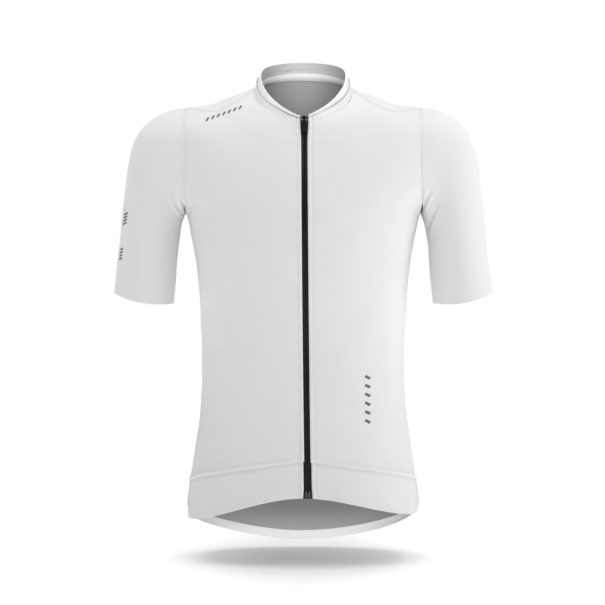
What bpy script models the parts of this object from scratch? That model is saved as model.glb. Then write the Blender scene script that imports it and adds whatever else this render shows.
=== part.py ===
"""Race-cut cycling jersey, filled out as worn, with a full-length front zip.

Metres, +Z up.  The front faces -Y and the wearer's left is at +X.  The origin is midway
between the shoulders, level with the base of the neck, where a wearer holds the jersey up.

The body is one smooth surface through a table of rings, from the hem up over the shoulders
to the neck seam and the collar's rim.  A place on it is an angle round the body, 0 at the
centre front and 90 degrees at the left side, and a level, which counts the rings upwards.
Every panel is a stretch of that surface between its seams.  A sleeve is a second surface,
which starts on the armhole and follows its own table of rings down to the cuff.
Sizes are in millimetres, and become metres when a mesh is made.
"""

from math import atan2, cos, exp, hypot, pi, radians, sin

import bmesh
import bpy
import numpy as np
from mathutils import Matrix, Vector

COLLECTION = "cycling_jersey"
MM = 0.001

# Cloth, seams and layers
CLOTH = 1.2
ELASTIC = 1.0
TAPE = 1.0
SEAM_GAP = 0.3
LAYER_GAP = 0.3

# The body's rings, from the hem up.  The height and depth of a ring are given at the centre
# front, at the side and at the centre back; side_x is its half width.  squareness is the
# exponent of its superellipse, 2 for an ellipse.  front_v, front_fall and back_fall shape
# how its height runs from the side to the centre: front_v is 0 for a flat centre and 1 for
# a V, and a larger fall keeps the side's height for longer.
RING_COLUMNS = (
    "front_z", "front_y", "side_z", "side_x", "side_y", "back_z", "back_y",
    "squareness", "front_v", "front_fall", "back_fall",
)
BODY_RINGS = (
    (-585.6, -110.0, -622.5, 167.5, 0.0, -671.8, 106.0, 2.45, 0.0, 4.0, 1.70),
    (-572.0, -109.2, -609.0, 167.2, 0.0, -658.2, 105.8, 2.45, 0.0, 3.8, 1.66),
    (-534.8, -106.0, -573.5, 163.7, 0.0, -624.0, 104.5, 2.45, 0.8, 1.2, 1.72),
    (-507.0, -103.6, -547.0, 160.0, 0.0, -586.0, 102.3, 2.40, 0.2, 2.4, 1.80),
    (-484.0, -101.8, -513.0, 155.0, 0.0, -541.0, 98.8, 2.40, 0.0, 2.4, 1.80),
    (-454.0, -100.0, -472.0, 149.6, 0.0, -488.0, 94.4, 2.40, 0.0, 2.2, 1.70),
    (-420.0, -99.3, -426.0, 146.5, 0.0, -433.0, 91.0, 2.40, 0.0, 2.0, 1.60),
    (-379.0, -101.0, -379.0, 146.2, 0.0, -380.0, 90.0, 2.40, 0.0, 2.0, 1.50),
    (-330.0, -106.0, -330.0, 148.6, 0.0, -330.0, 93.0, 2.40, 0.0, 2.0, 1.50),
    (-284.0, -111.4, -281.0, 152.0, 1.0, -281.0, 98.0, 2.40, 0.0, 2.0, 1.50),
    (-247.0, -114.4, -245.0, 156.5, 2.0, -243.0, 103.0, 2.40, 0.0, 2.0, 1.50),
    (-216.0, -115.0, -213.0, 162.5, 3.0, -211.0, 107.5, 2.38, 0.0, 1.9, 1.50),
    (-187.0, -113.0, -183.0, 171.0, 4.0, -184.0, 110.0, 2.35, 0.0, 1.8, 1.50),
    (-174.0, -110.6, -160.0, 188.0, 4.0, -168.0, 111.0, 2.30, 0.0, 1.8, 1.50),
    (-161.0, -107.4, -135.0, 199.0, 3.0, -152.0, 111.2, 2.25, 0.0, 1.8, 1.50),
    (-148.5, -103.8, -110.0, 206.0, 2.0, -136.0, 110.6, 2.20, 0.0, 1.8, 1.50),
    (-136.0, -99.8, -86.0, 210.0, 1.0, -120.0, 109.2, 2.20, 0.0, 1.8, 1.50),
    (-124.0, -95.8, -65.0, 210.0, -1.0, -105.0, 107.2, 2.20, 0.0, 1.7, 1.50),
    (-113.0, -91.8, -48.0, 205.0, -3.0, -90.0, 104.6, 2.20, 0.0, 1.6, 1.45),
    (-102.5, -87.8, -36.5, 192.0, -4.0, -75.0, 101.5, 2.20, 0.0, 1.5, 1.40),
    (-93.0, -84.0, -32.0, 170.0, -5.0, -61.0, 98.0, 2.15, 0.1, 1.4, 1.30),
    (-87.0, -81.5, -29.0, 150.0, -4.0, -46.0, 93.5, 2.10, 0.3, 1.2, 1.25),
    (-81.0, -78.5, -25.0, 130.0, -2.0, -29.0, 88.0, 2.10, 0.5, 1.05, 1.20),
    (-75.0, -75.5, -17.0, 110.0, 0.0, -12.0, 81.0, 2.05, 0.7, 0.92, 1.15),
    (-68.5, -72.0, -9.0, 90.0, 2.0, 5.0, 72.5, 2.00, 0.85, 0.80, 1.10),
    (-60.0, -68.0, -3.5, 71.0, 5.0, 22.0, 62.0, 2.00, 1.0, 0.70, 1.10),
)
COLLAR_RIM = (-50.5, -62.5, 17.0, 62.5, 3.0, 43.0, 60.0, 2.00, 0.45, 1.12, 0.70)

# Levels that carry a seam or an edge, as row numbers of the table above
HEM = 0
GRIPPER_TOP = 1
FRONT_BAND_TOP = 2
POCKET_TOP = 5
ARMPIT = 12
SHOULDER = 20
NECK = 25
RIM = 26

# How finely the surfaces are divided
ROWS_PER_RING = (1, 2, 1, 1, 2, 2, 2, 2, 2, 1, 1, 1)
ARMHOLE_ROWS = 9
YOKE_ROWS_PER_RING = (2, 1, 1, 1, 1)
FRONT_COLUMNS = 9
BACK_COLUMNS = 18
COLLAR_ROWS = 2
SLEEVE_ROWS = 10

# Seams that run up the body
SIDE_SEAM_AT_HEM = radians(72)
SIDE_SEAM_TURNS_BELOW = 4.5
SHOULDER_SEAM_FORWARD = radians(11)
ARMHOLE_HOLLOW = 4.5

# Zip: its centre line leans to the wearer's left towards the hem, and the gap between the
# fronts that shows it widens at the throat, at the hem bands and at the bottom end
ZIP_CENTRE_TOP = 1.5
ZIP_CENTRE_BOTTOM = 6.5
ZIP_LEAN = 1.6
ZIP_HALF_GAP = 4.4
THROAT_HALF_GAP = 5.4
BAND_HALF_GAP = 5.6
END_HALF_GAP = 6.6
TAPE_HALF_WIDTH = 14.0
THROAT_FADE = 26.0

# The hem hangs a little higher at the wearer's left side seam than at the right one
HEM_LIFT = 8.5
LIFT_LEVELS = 3.0
LIFT_IN_FRONT = 0.75
LIFT_BEHIND = 0.35
ZIP_TAPE_GAP = 0.6

# Layers on the body
NECK_TAPE_HALF = 4.5
NECK_TAPE_GAP = 0.6
RING_BELOW_NECK = hypot(
    BODY_RINGS[NECK][5] - BODY_RINGS[NECK - 1][5], BODY_RINGS[NECK][6] - BODY_RINGS[NECK - 1][6])
COLLAR_HEIGHT = hypot(COLLAR_RIM[5] - BODY_RINGS[NECK][5], COLLAR_RIM[6] - BODY_RINGS[NECK][6])
NECK_TAPE_FOOT = NECK - NECK_TAPE_HALF / RING_BELOW_NECK
NECK_TAPE_TOP = NECK + NECK_TAPE_HALF / COLLAR_HEIGHT
GRIPPER_FIRST_COLUMN = 1
POCKET_MARGIN_COLUMNS = 1

# The left sleeve's rings, from the armhole to the cuff: the outer and inner points of each
# in the front view, and its depth to the front and back.  The right sleeve is its mirror.
SLEEVE_COLUMNS = ("outer_x", "outer_z", "inner_x", "inner_z", "front_y", "back_y")
SLEEVE_RINGS = (
    (170.0, -32.0, 171.0, -183.0, -66.0, 70.0),
    (192.0, -35.0, 172.5, -187.0, -64.5, 69.0),
    (216.0, -46.0, 174.2, -192.5, -62.5, 67.5),
    (237.0, -66.0, 176.5, -200.0, -60.5, 65.5),
    (250.0, -97.0, 178.7, -212.0, -58.5, 63.0),
    (257.5, -142.0, 181.0, -228.0, -56.5, 60.5),
    (264.0, -205.0, 183.0, -252.0, -54.5, 58.0),
    (269.0, -255.0, 185.2, -281.0, -53.0, 56.5),
    (274.5, -299.0, 187.8, -315.0, -52.0, 55.0),
)
CUFF = 8
SLEEVE_SETTLES = 4
CUFF_FRONT_DROP = 7.0

# Zip hardware
SLIDER_WIDTH = 10.2
SLIDER_TAPER = 0.82
SLIDER_HEIGHT = 11.0
SLIDER_BACK = 0.7
SLIDER_FRONT = 0.9
SLIDER_BEVEL = 0.7
LUG_WIDTH = 1.0
LUG_HEIGHT = 3.0
LUG_SPREAD = 3.0
LUG_DEPTH = 3.4
PIVOT_LIFT = 2.0
PIVOT_RISE = 3.4
PIN_RADIUS = 0.6
EYE_RADIUS = 1.6
EYE_BORE = 0.9
EYE_WIDTH = 4.4
PULL_COLUMNS = ("below_pin", "width")
PULL_OUTLINE = ((0.8, 4.4), (5.0, 4.4), (7.0, 9.4), (12.0, 9.4), (24.5, 8.0), (26.0, 5.0))
PULL_THICKNESS = 1.6
SLIDER_LEVEL = 25.4
BOX_WIDTH = 9.6
BOX_HEIGHT = 11.0
BOX_BACK = 1.2
BOX_FRONT = 0.8
BOX_BEVEL = 0.9
BOX_EDGE = 1.0
ROUND_SIDES = 20

# Finishes: base colour, roughness, metallic
WHITE_KNIT = ((0.86, 0.87, 0.88), 0.85, 0.0)
WHITE_ELASTIC = ((0.90, 0.90, 0.91), 0.8, 0.0)
BLACK_TAPE = ((0.025, 0.025, 0.028), 0.6, 0.0)
BLACK_PULL = ((0.02, 0.02, 0.022), 0.5, 0.0)
SLIDER_METAL = ((0.45, 0.45, 0.47), 0.35, 0.9)

# Small steps used to find a surface's direction
STEP_ROUND = radians(0.6)
STEP_UP = 0.04
SLEEVE_STEP_ROUND = 0.004
SLEEVE_STEP_DOWN = 0.05
SHARP_ANGLE = radians(40)


# ---- The body's surface ----

def smooth_row(table, level):
    """The table's row at a level between two rows, on a smooth curve through all of them."""
    rows = np.asarray(table, float)
    below = int(min(max(np.floor(level), 0), len(rows) - 2))
    part = level - below
    start, end = rows[below], rows[below + 1]
    before = rows[below - 1] if below > 0 else 2 * start - end
    after = rows[below + 2] if below + 2 < len(rows) else 2 * end - start
    slope_start = (end - before) / 2
    slope_end = (after - start) / 2
    ease = part * part * (3 - 2 * part)
    lead = part * (1 - part) ** 2
    trail = part * part * (part - 1)
    return start + (end - start) * ease + slope_start * lead + slope_end * trail


def ring_at(level):
    """The body's ring at a level, by column name; above the neck seam it is the collar's."""
    if level <= NECK:
        row = smooth_row(BODY_RINGS, level)
    else:
        part = level - NECK
        row = np.array(BODY_RINGS[NECK]) * (1 - part) + np.array(COLLAR_RIM) * part
    return dict(zip(RING_COLUMNS, row))


def hem_lift(angle, level):
    """How much higher the surface is near the left side seam's foot."""
    away = angle - pi / 2
    spread = LIFT_IN_FRONT if away < 0 else LIFT_BEHIND
    fade = max(0.0, 1 - level / LIFT_LEVELS)
    return HEM_LIFT * exp(-(away / spread) ** 2) * fade ** 2


def body_point(angle, level):
    """The point of the body's outer surface at an angle round it and a level up it."""
    ring = ring_at(level)
    in_front = cos(angle) >= 0
    depth = ring["side_y"] - ring["front_y"] if in_front else ring["back_y"] - ring["side_y"]
    power = ring["squareness"]
    across = abs(sin(angle)) / ring["side_x"]
    along = abs(cos(angle)) / depth
    radius = (across ** power + along ** power) ** (-1 / power)
    turn = 1 - atan2(across, along) / (pi / 2)
    centre_z = ring["front_z"] if in_front else ring["back_z"]
    v_shape = ring["front_v"] if in_front else 0.0
    fall = ring["front_fall"] if in_front else ring["back_fall"]
    share = (v_shape * turn + (1 - v_shape) * sin(turn * pi / 2)) ** fall
    height = ring["side_z"] + (centre_z - ring["side_z"]) * share + hem_lift(angle, level)
    return np.array((radius * sin(angle), ring["side_y"] - radius * cos(angle), height))


def unit(vector):
    """The vector at a length of one."""
    return vector / np.linalg.norm(vector)


def body_normal(angle, level, lowest=HEM, highest=NECK):
    """The outward direction there, from points of the same piece on each side."""
    around = body_point(angle + STEP_ROUND, level) - body_point(angle - STEP_ROUND, level)
    above = body_point(angle, min(level + STEP_UP, highest))
    below = body_point(angle, max(level - STEP_UP, lowest))
    upward = above - below
    return unit(np.cross(around, upward))


def angle_at_x(x, level, in_front=True):
    """The angle at which the ring at a level is x from the middle."""
    ring = ring_at(level)
    depth = ring["side_y"] - ring["front_y"] if in_front else ring["back_y"] - ring["side_y"]
    power = ring["squareness"]
    reach = min(abs(x) / ring["side_x"], 1.0)
    forward = depth * (1 - reach ** power) ** (1 / power)
    return atan2(x, forward if in_front else -forward)


# ---- Where the seams run ----

def zip_centre(height):
    """How far the zip's line is from the middle at a height."""
    part = (COLLAR_RIM[0] - height) / (COLLAR_RIM[0] - BODY_RINGS[HEM][0])
    return ZIP_CENTRE_TOP + (ZIP_CENTRE_BOTTOM - ZIP_CENTRE_TOP) * max(part, 0.0) ** ZIP_LEAN


def zip_edge(level, side, band=False):
    """The angle of a front's edge beside the zip; side is 1 on the left, -1 on the right."""
    height = ring_at(level)["front_z"]
    throat = 1 - (BODY_RINGS[NECK][0] - height) / THROAT_FADE
    gap = ZIP_HALF_GAP + (THROAT_HALF_GAP - ZIP_HALF_GAP) * min(max(throat, 0.0), 1.0)
    if band:
        gap = BAND_HALF_GAP + (END_HALF_GAP - BAND_HALF_GAP) * max(GRIPPER_TOP - level, 0.0)
    return angle_at_x(zip_centre(height) + side * gap, level)


def side_seam(level):
    """The angle of the side seam, which swings to the front below the waist."""
    below = max(0.0, (SIDE_SEAM_TURNS_BELOW - level) / SIDE_SEAM_TURNS_BELOW)
    return pi / 2 - (pi / 2 - SIDE_SEAM_AT_HEM) * below ** 2


def shoulder_seam(level):
    """The angle of the shoulder seam, a little to the front between shoulder and neck."""
    part = min(level - SHOULDER, NECK - SHOULDER) / (NECK - SHOULDER)
    return pi / 2 - SHOULDER_SEAM_FORWARD * sin(pi * part)


def armhole_angle(level, in_front):
    """The angle at which the ring at a level meets the armhole, which is hollowed a little."""
    part = (level - ARMPIT) / (SHOULDER - ARMPIT)
    low, high = BODY_RINGS[ARMPIT][3], BODY_RINGS[SHOULDER][3]
    seam_x = low + (high - low) * part - ARMHOLE_HOLLOW * sin(pi * part)
    return angle_at_x(seam_x, level, in_front)


def front_edge(level):
    """The angle of a front panel's outer edge: side seam, armhole, then shoulder seam."""
    if level <= ARMPIT:
        return side_seam(level)
    if level < SHOULDER:
        return armhole_angle(level, True)
    return shoulder_seam(level)


def back_edge(level):
    """The same for the back panel, on the left."""
    if ARMPIT < level < SHOULDER:
        return armhole_angle(level, False)
    return front_edge(level)


def armhole_levels():
    """Levels up the armhole, closer at its top and bottom, where it turns."""
    steps = range(ARMHOLE_ROWS + 1)
    return [ARMPIT + (SHOULDER - ARMPIT) * (1 - cos(pi * step / ARMHOLE_ROWS)) / 2 for step in steps]


def body_levels(lowest, highest):
    """The panels' row levels between two named levels."""
    levels = []
    for ring, rows in enumerate(ROWS_PER_RING):
        levels += [ring + row / rows for row in range(rows)]
    levels += armhole_levels()
    for ring, rows in enumerate(YOKE_ROWS_PER_RING):
        levels += [SHOULDER + ring + row / rows for row in range(rows) if ring + row > 0]
    levels += [NECK_TAPE_FOOT, NECK]
    return [level for level in levels if lowest <= level <= highest]


# ---- The sleeves' surface ----

def armhole_point(turn):
    """The armhole seam at a turn: 0 at its top, a quarter in front, a half at the armpit."""
    in_front = turn <= 0.5
    part = turn * 2 if in_front else 2 - turn * 2
    level = ARMPIT + (SHOULDER - ARMPIT) * (1 + cos(pi * part)) / 2
    if level >= SHOULDER or level <= ARMPIT:
        return body_point(pi / 2, level)
    return body_point(armhole_angle(level, in_front), level)


def sleeve_oval(turn, reach):
    """A sleeve's own oval ring at a reach, which counts its rings outwards."""
    ring = dict(zip(SLEEVE_COLUMNS, smooth_row(SLEEVE_RINGS, reach)))
    lengthwise = cos(turn * 2 * pi)
    sideways = sin(turn * 2 * pi)
    x = (ring["outer_x"] + ring["inner_x"]) / 2 + (ring["outer_x"] - ring["inner_x"]) / 2 * lengthwise
    z = (ring["outer_z"] + ring["inner_z"]) / 2 + (ring["outer_z"] - ring["inner_z"]) / 2 * lengthwise
    y = (ring["front_y"] if sideways > 0 else ring["back_y"]) * abs(sideways)
    dropped = CUFF_FRONT_DROP * max(0.0, sideways) ** 2 * (reach / CUFF) ** 3
    return np.array((x, y, z - dropped))


def sleeve_point(turn, reach):
    """The left sleeve's outer surface: the armhole's own curve, easing into the ovals."""
    turn = turn % 1.0
    settle = cos(pi / 2 * min(reach / SLEEVE_SETTLES, 1.0)) ** 2
    difference = armhole_point(turn) - sleeve_oval(turn, 0)
    return sleeve_oval(turn, reach) + difference * settle


def sleeve_normal(turn, reach):
    """The outward direction of the left sleeve's surface."""
    ahead = sleeve_point(turn + SLEEVE_STEP_ROUND, reach)
    behind = sleeve_point(turn - SLEEVE_STEP_ROUND, reach)
    lower = sleeve_point(turn, min(reach + SLEEVE_STEP_DOWN, CUFF))
    upper = sleeve_point(turn, max(reach - SLEEVE_STEP_DOWN, 0))
    return unit(np.cross(ahead - behind, lower - upper))


# ---- From points to solids ----

def pulled_in(grid, edges):
    """The grid with the named edges drawn in by half a seam gap, along the cloth."""
    grid = grid.copy()
    half = SEAM_GAP / 2
    places = {
        "bottom": ((0, slice(None)), (1, slice(None))),
        "top": ((-1, slice(None)), (-2, slice(None))),
        "start": ((slice(None), 0), (slice(None), 1)),
        "end": ((slice(None), -1), (slice(None), -2)),
    }
    for edge in edges:
        outer, inner = places[edge]
        inward = grid[inner] - grid[outer]
        grid[outer] += half * inward / np.linalg.norm(inward, axis=1, keepdims=True)
    return grid


def finish(thing, look):
    """Give the object its own material and shade it smooth."""
    colour, roughness, metallic = look
    material = bpy.data.materials.new(thing.name + "_finish")
    material.use_nodes = True
    shader = material.node_tree.nodes["Principled BSDF"]
    shader.inputs["Base Color"].default_value = (*colour, 1)
    shader.inputs["Roughness"].default_value = roughness
    shader.inputs["Metallic"].default_value = metallic
    material.diffuse_color = (*colour, 1)
    thing.data.materials.clear()
    thing.data.materials.append(material)
    thing.data.shade_smooth()
    thing.data.set_sharp_from_angle(angle=SHARP_ANGLE)
    return thing


def new_object(name, mesh_or_bmesh):
    """An object in the jersey's collection, from a mesh or a bmesh."""
    mesh = mesh_or_bmesh
    if isinstance(mesh_or_bmesh, bmesh.types.BMesh):
        mesh = bpy.data.meshes.new(name)
        mesh_or_bmesh.to_mesh(mesh)
        mesh_or_bmesh.free()
    thing = bpy.data.objects.new(name, mesh)
    jersey.objects.link(thing)
    return thing


def cloth_wall(name, outside, inside, closed=False):
    """A wall of cloth between two lofted grids of points, closed by rims at its edges."""
    rows, columns = outside.shape[:2]
    form = bmesh.new()
    faces_of_cloth = []
    for grid in (outside, inside):
        faces_of_cloth.append([[form.verts.new(point * MM) for point in row] for row in grid])
    spans = columns if closed else columns - 1
    for grid in faces_of_cloth:
        for row in range(rows - 1):
            for column in range(spans):
                after = (column + 1) % columns
                form.faces.new((
                    grid[row][column], grid[row][after],
                    grid[row + 1][after], grid[row + 1][column],
                ))
    outer, inner = faces_of_cloth
    rims = [(outer[0], inner[0]), (outer[-1], inner[-1])]
    for outer_edge, inner_edge in rims:
        for column in range(spans):
            after = (column + 1) % columns
            form.faces.new((outer_edge[column], outer_edge[after], inner_edge[after], inner_edge[column]))
    if not closed:
        for column in (0, -1):
            for row in range(rows - 1):
                form.faces.new((
                    outer[row][column], outer[row + 1][column],
                    inner[row + 1][column], inner[row][column],
                ))
    bmesh.ops.recalc_face_normals(form, faces=form.faces)
    return new_object(name, form)


def body_piece(name, levels, angles_at, seams, outer=0.0, thickness=CLOTH, reach=(HEM, NECK)):
    """A piece of the body: its rows are at the levels, its columns at the angles of each.

    outer is how far its outer face stands off the body's surface, negative for inside it.
    """
    points, normals = [], []
    for level in levels:
        angles = angles_at(level)
        points.append([body_point(angle, level) for angle in angles])
        normals.append([body_normal(angle, level, *reach) for angle in angles])
    points, normals = np.array(points), np.array(normals)
    outside = pulled_in(points + normals * outer, seams)
    inside = pulled_in(points + normals * (outer - thickness), seams)
    return cloth_wall(name, outside, inside)


# ---- The cut pieces ----

def front_angles(level, side, band=False):
    """A front panel's columns, from the zip to its outer edge; the first is as wide as the tape."""
    tape_edge = angle_at_x(zip_centre(ring_at(level)["front_z"]) + side * TAPE_HALF_WIDTH, level)
    across = np.linspace(tape_edge, side * front_edge(level), FRONT_COLUMNS)
    return np.concatenate(((zip_edge(level, side, band),), across))


def back_angles(level):
    """The back panel's columns, from the left edge round the back to the right one."""
    edge = back_edge(level)
    return np.linspace(edge, 2 * pi - edge, BACK_COLUMNS + 1)


def make_fronts(side, word):
    """One front with its hem band, and the elastic inside the band."""
    panel = body_piece(
        "front_panel_" + word,
        body_levels(FRONT_BAND_TOP, NECK),
        lambda level: front_angles(level, side),
        ("bottom", "top", "end"),
    )
    band = body_piece(
        "front_hem_" + word,
        body_levels(HEM, FRONT_BAND_TOP),
        lambda level: front_angles(level, side, band=True),
        ("top", "end"),
    )
    gripper = body_piece(
        "front_gripper_" + word,
        body_levels(HEM, GRIPPER_TOP),
        lambda level: front_angles(level, side, band=True)[GRIPPER_FIRST_COLUMN:],
        ("start", "end"),
        outer=-(CLOTH + LAYER_GAP),
        thickness=ELASTIC,
    )
    finish(panel, WHITE_KNIT)
    finish(band, WHITE_KNIT)
    finish(gripper, WHITE_ELASTIC)


def make_back():
    """The back, its hem elastic and the pocket panel stitched on it."""
    panel = body_piece(
        "back_panel", body_levels(GRIPPER_TOP, NECK), back_angles, ("bottom", "top", "start", "end"))
    hem = body_piece(
        "back_hem_band", body_levels(HEM, GRIPPER_TOP), back_angles, ("top", "start", "end"))
    inner_columns = slice(POCKET_MARGIN_COLUMNS, BACK_COLUMNS + 1 - POCKET_MARGIN_COLUMNS)
    pocket = body_piece(
        "pocket_panel",
        body_levels(GRIPPER_TOP, POCKET_TOP),
        lambda level: back_angles(level)[inner_columns],
        ("bottom",),
        outer=LAYER_GAP + CLOTH,
    )
    finish(panel, WHITE_KNIT)
    finish(hem, WHITE_ELASTIC)
    finish(pocket, WHITE_KNIT)


def make_collar():
    """The stand collar, open at the zip, and the tape over its seam inside the back neck."""
    def neck_columns(level):
        left = front_angles(NECK, 1)[2:]
        right = front_angles(NECK, -1)[2:]
        beside_zip = [front_angles(level, side)[:2] for side in (1, -1)]
        return np.concatenate((
            beside_zip[0], left, back_angles(NECK)[1:-1],
            2 * pi + right[::-1], 2 * pi + beside_zip[1][::-1],
        ))

    levels = [NECK + row / COLLAR_ROWS for row in range(COLLAR_ROWS + 1)]
    collar = body_piece("collar", levels, neck_columns, ("bottom",), reach=(NECK, RIM))
    tape = body_piece(
        "neck_tape",
        (NECK_TAPE_FOOT, NECK, NECK_TAPE_TOP),
        lambda level: back_angles(min(level, NECK)),
        (),
        outer=-(CLOTH + NECK_TAPE_GAP),
        thickness=TAPE,
        reach=(HEM, RIM),
    )
    finish(collar, WHITE_KNIT)
    finish(tape, WHITE_ELASTIC)


def make_sleeve(side, word):
    """A sleeve, one tube from the armhole to the cuff."""
    turns = [step / (2 * ARMHOLE_ROWS) for step in range(2 * ARMHOLE_ROWS)]
    reaches = [CUFF * step / SLEEVE_ROWS for step in range(SLEEVE_ROWS + 1)]
    points = np.array([[sleeve_point(turn, reach) for turn in turns] for reach in reaches])
    normals = np.array([[sleeve_normal(turn, reach) for turn in turns] for reach in reaches])
    mirror = np.array((side, 1, 1))
    outside = pulled_in(points, ("bottom",)) * mirror
    inside = pulled_in(points - normals * CLOTH, ("bottom",)) * mirror
    finish(cloth_wall("sleeve_" + word, outside, inside, closed=True), WHITE_KNIT)


def make_zip_tape(side, word):
    """One half of the zip, lying behind the fronts' edges from the hem to the collar's rim."""
    def columns(level):
        centre = zip_centre(ring_at(level)["front_z"])
        offsets = (SEAM_GAP / 2, TAPE_HALF_WIDTH)
        return [angle_at_x(centre + side * offset, level) for offset in offsets]

    levels = body_levels(HEM, NECK) + [NECK + row / COLLAR_ROWS for row in range(1, COLLAR_ROWS + 1)]
    tape = body_piece(
        "zip_tape_" + word, levels, columns, ("end",),
        outer=-(CLOTH + ZIP_TAPE_GAP), thickness=TAPE, reach=(HEM, RIM),
    )
    finish(tape, BLACK_TAPE)


# ---- Zip hardware ----

def zip_place(level):
    """The zip's centre line at a level: its point on the surface and how far it leans back."""
    angle = angle_at_x(zip_centre(ring_at(level)["front_z"]), level)
    normal = body_normal(angle, level, HEM, RIM)
    return body_point(angle, level), atan2(normal[2], -normal[1])


def box_form(width, depth, height, middle, bevel=0.0, taper=1.0):
    """A box as a bmesh, from its size and the place of its middle; taper narrows its foot."""
    form = bmesh.new()
    bmesh.ops.create_cube(form, size=1)
    bmesh.ops.scale(form, vec=(width * MM, depth * MM, height * MM), verts=form.verts)
    foot = [corner for corner in form.verts if corner.co.z < 0]
    bmesh.ops.scale(form, vec=(taper, 1, 1), verts=foot)
    if bevel:
        bmesh.ops.bevel(
            form, geom=form.edges[:], offset=bevel * MM, segments=2, profile=0.5, affect="EDGES")
    bmesh.ops.translate(form, vec=Vector(middle) * MM, verts=form.verts)
    return form


def cross_pin(radius, width, middle):
    """A cylinder that lies across the zip."""
    form = bmesh.new()
    bmesh.ops.create_cone(
        form, cap_ends=True, segments=ROUND_SIDES,
        radius1=radius * MM, radius2=radius * MM, depth=width * MM,
    )
    bmesh.ops.rotate(form, matrix=Matrix.Rotation(pi / 2, 3, "Y"), verts=form.verts)
    bmesh.ops.translate(form, vec=Vector(middle) * MM, verts=form.verts)
    return form


def combine(base, form, operation):
    """Join a form to the base object, or cut it from it."""
    tool = new_object(base.name + "_tool", form)
    modifier = base.modifiers.new("combine", "BOOLEAN")
    modifier.operation = operation
    modifier.solver = "EXACT"
    modifier.object = tool
    bpy.context.view_layer.update()
    evaluated = base.evaluated_get(bpy.context.evaluated_depsgraph_get())
    result = bpy.data.meshes.new_from_object(evaluated)
    base.modifiers.clear()
    base.data = result
    bpy.data.objects.remove(tool)
    return base


def make_slider_and_pull():
    """The slider at the throat and its pull tab, hinged on the slider's cross pin."""
    place, lean = zip_place(SLIDER_LEVEL)
    depth = SLIDER_BACK + SLIDER_FRONT
    slider = new_object("zip_slider", box_form(
        SLIDER_WIDTH, depth, SLIDER_HEIGHT,
        (0, (SLIDER_BACK - SLIDER_FRONT) / 2, 0), SLIDER_BEVEL, SLIDER_TAPER))
    pivot = (0, -(SLIDER_FRONT + PIVOT_LIFT), PIVOT_RISE)
    for across in (-LUG_SPREAD, LUG_SPREAD):
        middle = (across, -SLIDER_FRONT - LUG_DEPTH / 2 + LUG_WIDTH / 2, PIVOT_RISE)
        combine(slider, box_form(LUG_WIDTH, LUG_DEPTH, LUG_HEIGHT, middle), "UNION")
    combine(slider, cross_pin(PIN_RADIUS, 2 * LUG_SPREAD + LUG_WIDTH / 2, pivot), "UNION")
    slider.location = Vector(place) * MM
    slider.rotation_euler.x = -lean
    finish(slider, SLIDER_METAL)

    front_y = -PULL_THICKNESS / 2
    outline = [(width / 2, front_y, -below_pin) for below_pin, width in PULL_OUTLINE]
    outline += [(-x, y, z) for x, y, z in reversed(outline)]
    form = bmesh.new()
    blade_face = form.faces.new([form.verts.new(Vector(corner) * MM) for corner in outline])
    thick = bmesh.ops.extrude_face_region(form, geom=[blade_face])
    moved = [item for item in thick["geom"] if isinstance(item, bmesh.types.BMVert)]
    bmesh.ops.translate(form, vec=(0, PULL_THICKNESS * MM, 0), verts=moved)
    bmesh.ops.recalc_face_normals(form, faces=form.faces)
    pull = new_object("zip_pull_tab", form)
    combine(pull, cross_pin(EYE_RADIUS, EYE_WIDTH, (0, 0, 0)), "UNION")
    combine(pull, cross_pin(EYE_BORE, EYE_WIDTH * 2, (0, 0, 0)), "DIFFERENCE")
    pull.location = Vector(place) * MM + Matrix.Rotation(-lean, 3, "X") @ (Vector(pivot) * MM)
    pull.rotation_euler.x = -lean
    finish(pull, BLACK_PULL)


def make_zip_box():
    """The box and pin that hold the zip's bottom end, just above the hem."""
    place, lean = zip_place(HEM)
    box = new_object("zip_box", box_form(
        BOX_WIDTH, BOX_BACK + BOX_FRONT, BOX_HEIGHT,
        (0, (BOX_BACK - BOX_FRONT) / 2, BOX_HEIGHT / 2 + BOX_EDGE), BOX_BEVEL))
    box.location = Vector(place) * MM
    box.rotation_euler.x = -lean
    finish(box, BLACK_PULL)


for old in list(bpy.data.objects):
    bpy.data.objects.remove(old)
jersey = bpy.data.collections.new(COLLECTION)
bpy.context.scene.collection.children.link(jersey)

for side, word in ((-1, "right"), (1, "left")):
    make_fronts(side, word)
    make_sleeve(side, word)
    make_zip_tape(side, word)
make_back()
make_collar()
make_slider_and_pull()
make_zip_box()
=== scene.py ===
from math import pi, radians

import bmesh
import bpy
import numpy as np
from mathutils import Matrix, Vector


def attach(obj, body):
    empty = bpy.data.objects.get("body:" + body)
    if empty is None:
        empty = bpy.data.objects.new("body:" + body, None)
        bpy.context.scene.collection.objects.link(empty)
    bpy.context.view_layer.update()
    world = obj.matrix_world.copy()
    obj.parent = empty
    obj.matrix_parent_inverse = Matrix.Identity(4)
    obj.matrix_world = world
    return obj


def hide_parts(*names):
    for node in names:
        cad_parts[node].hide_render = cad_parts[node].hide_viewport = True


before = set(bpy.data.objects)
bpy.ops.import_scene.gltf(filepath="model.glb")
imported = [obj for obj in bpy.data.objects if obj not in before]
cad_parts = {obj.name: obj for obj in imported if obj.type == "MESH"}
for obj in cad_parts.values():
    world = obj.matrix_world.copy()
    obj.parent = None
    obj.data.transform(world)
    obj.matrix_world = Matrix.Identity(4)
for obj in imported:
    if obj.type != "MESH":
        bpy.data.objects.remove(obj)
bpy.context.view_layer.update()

# ==== Front panels ====
# Two panels of fine white knit, left and right of the zip.  Their zip edges are turned under
# and topstitched, and their other edges are sewn to the sides, sleeves, collar and hem bands.
# Lengths of the form are in millimetres until a mesh is made, and those of finishes in metres.

MM = 0.001

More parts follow.
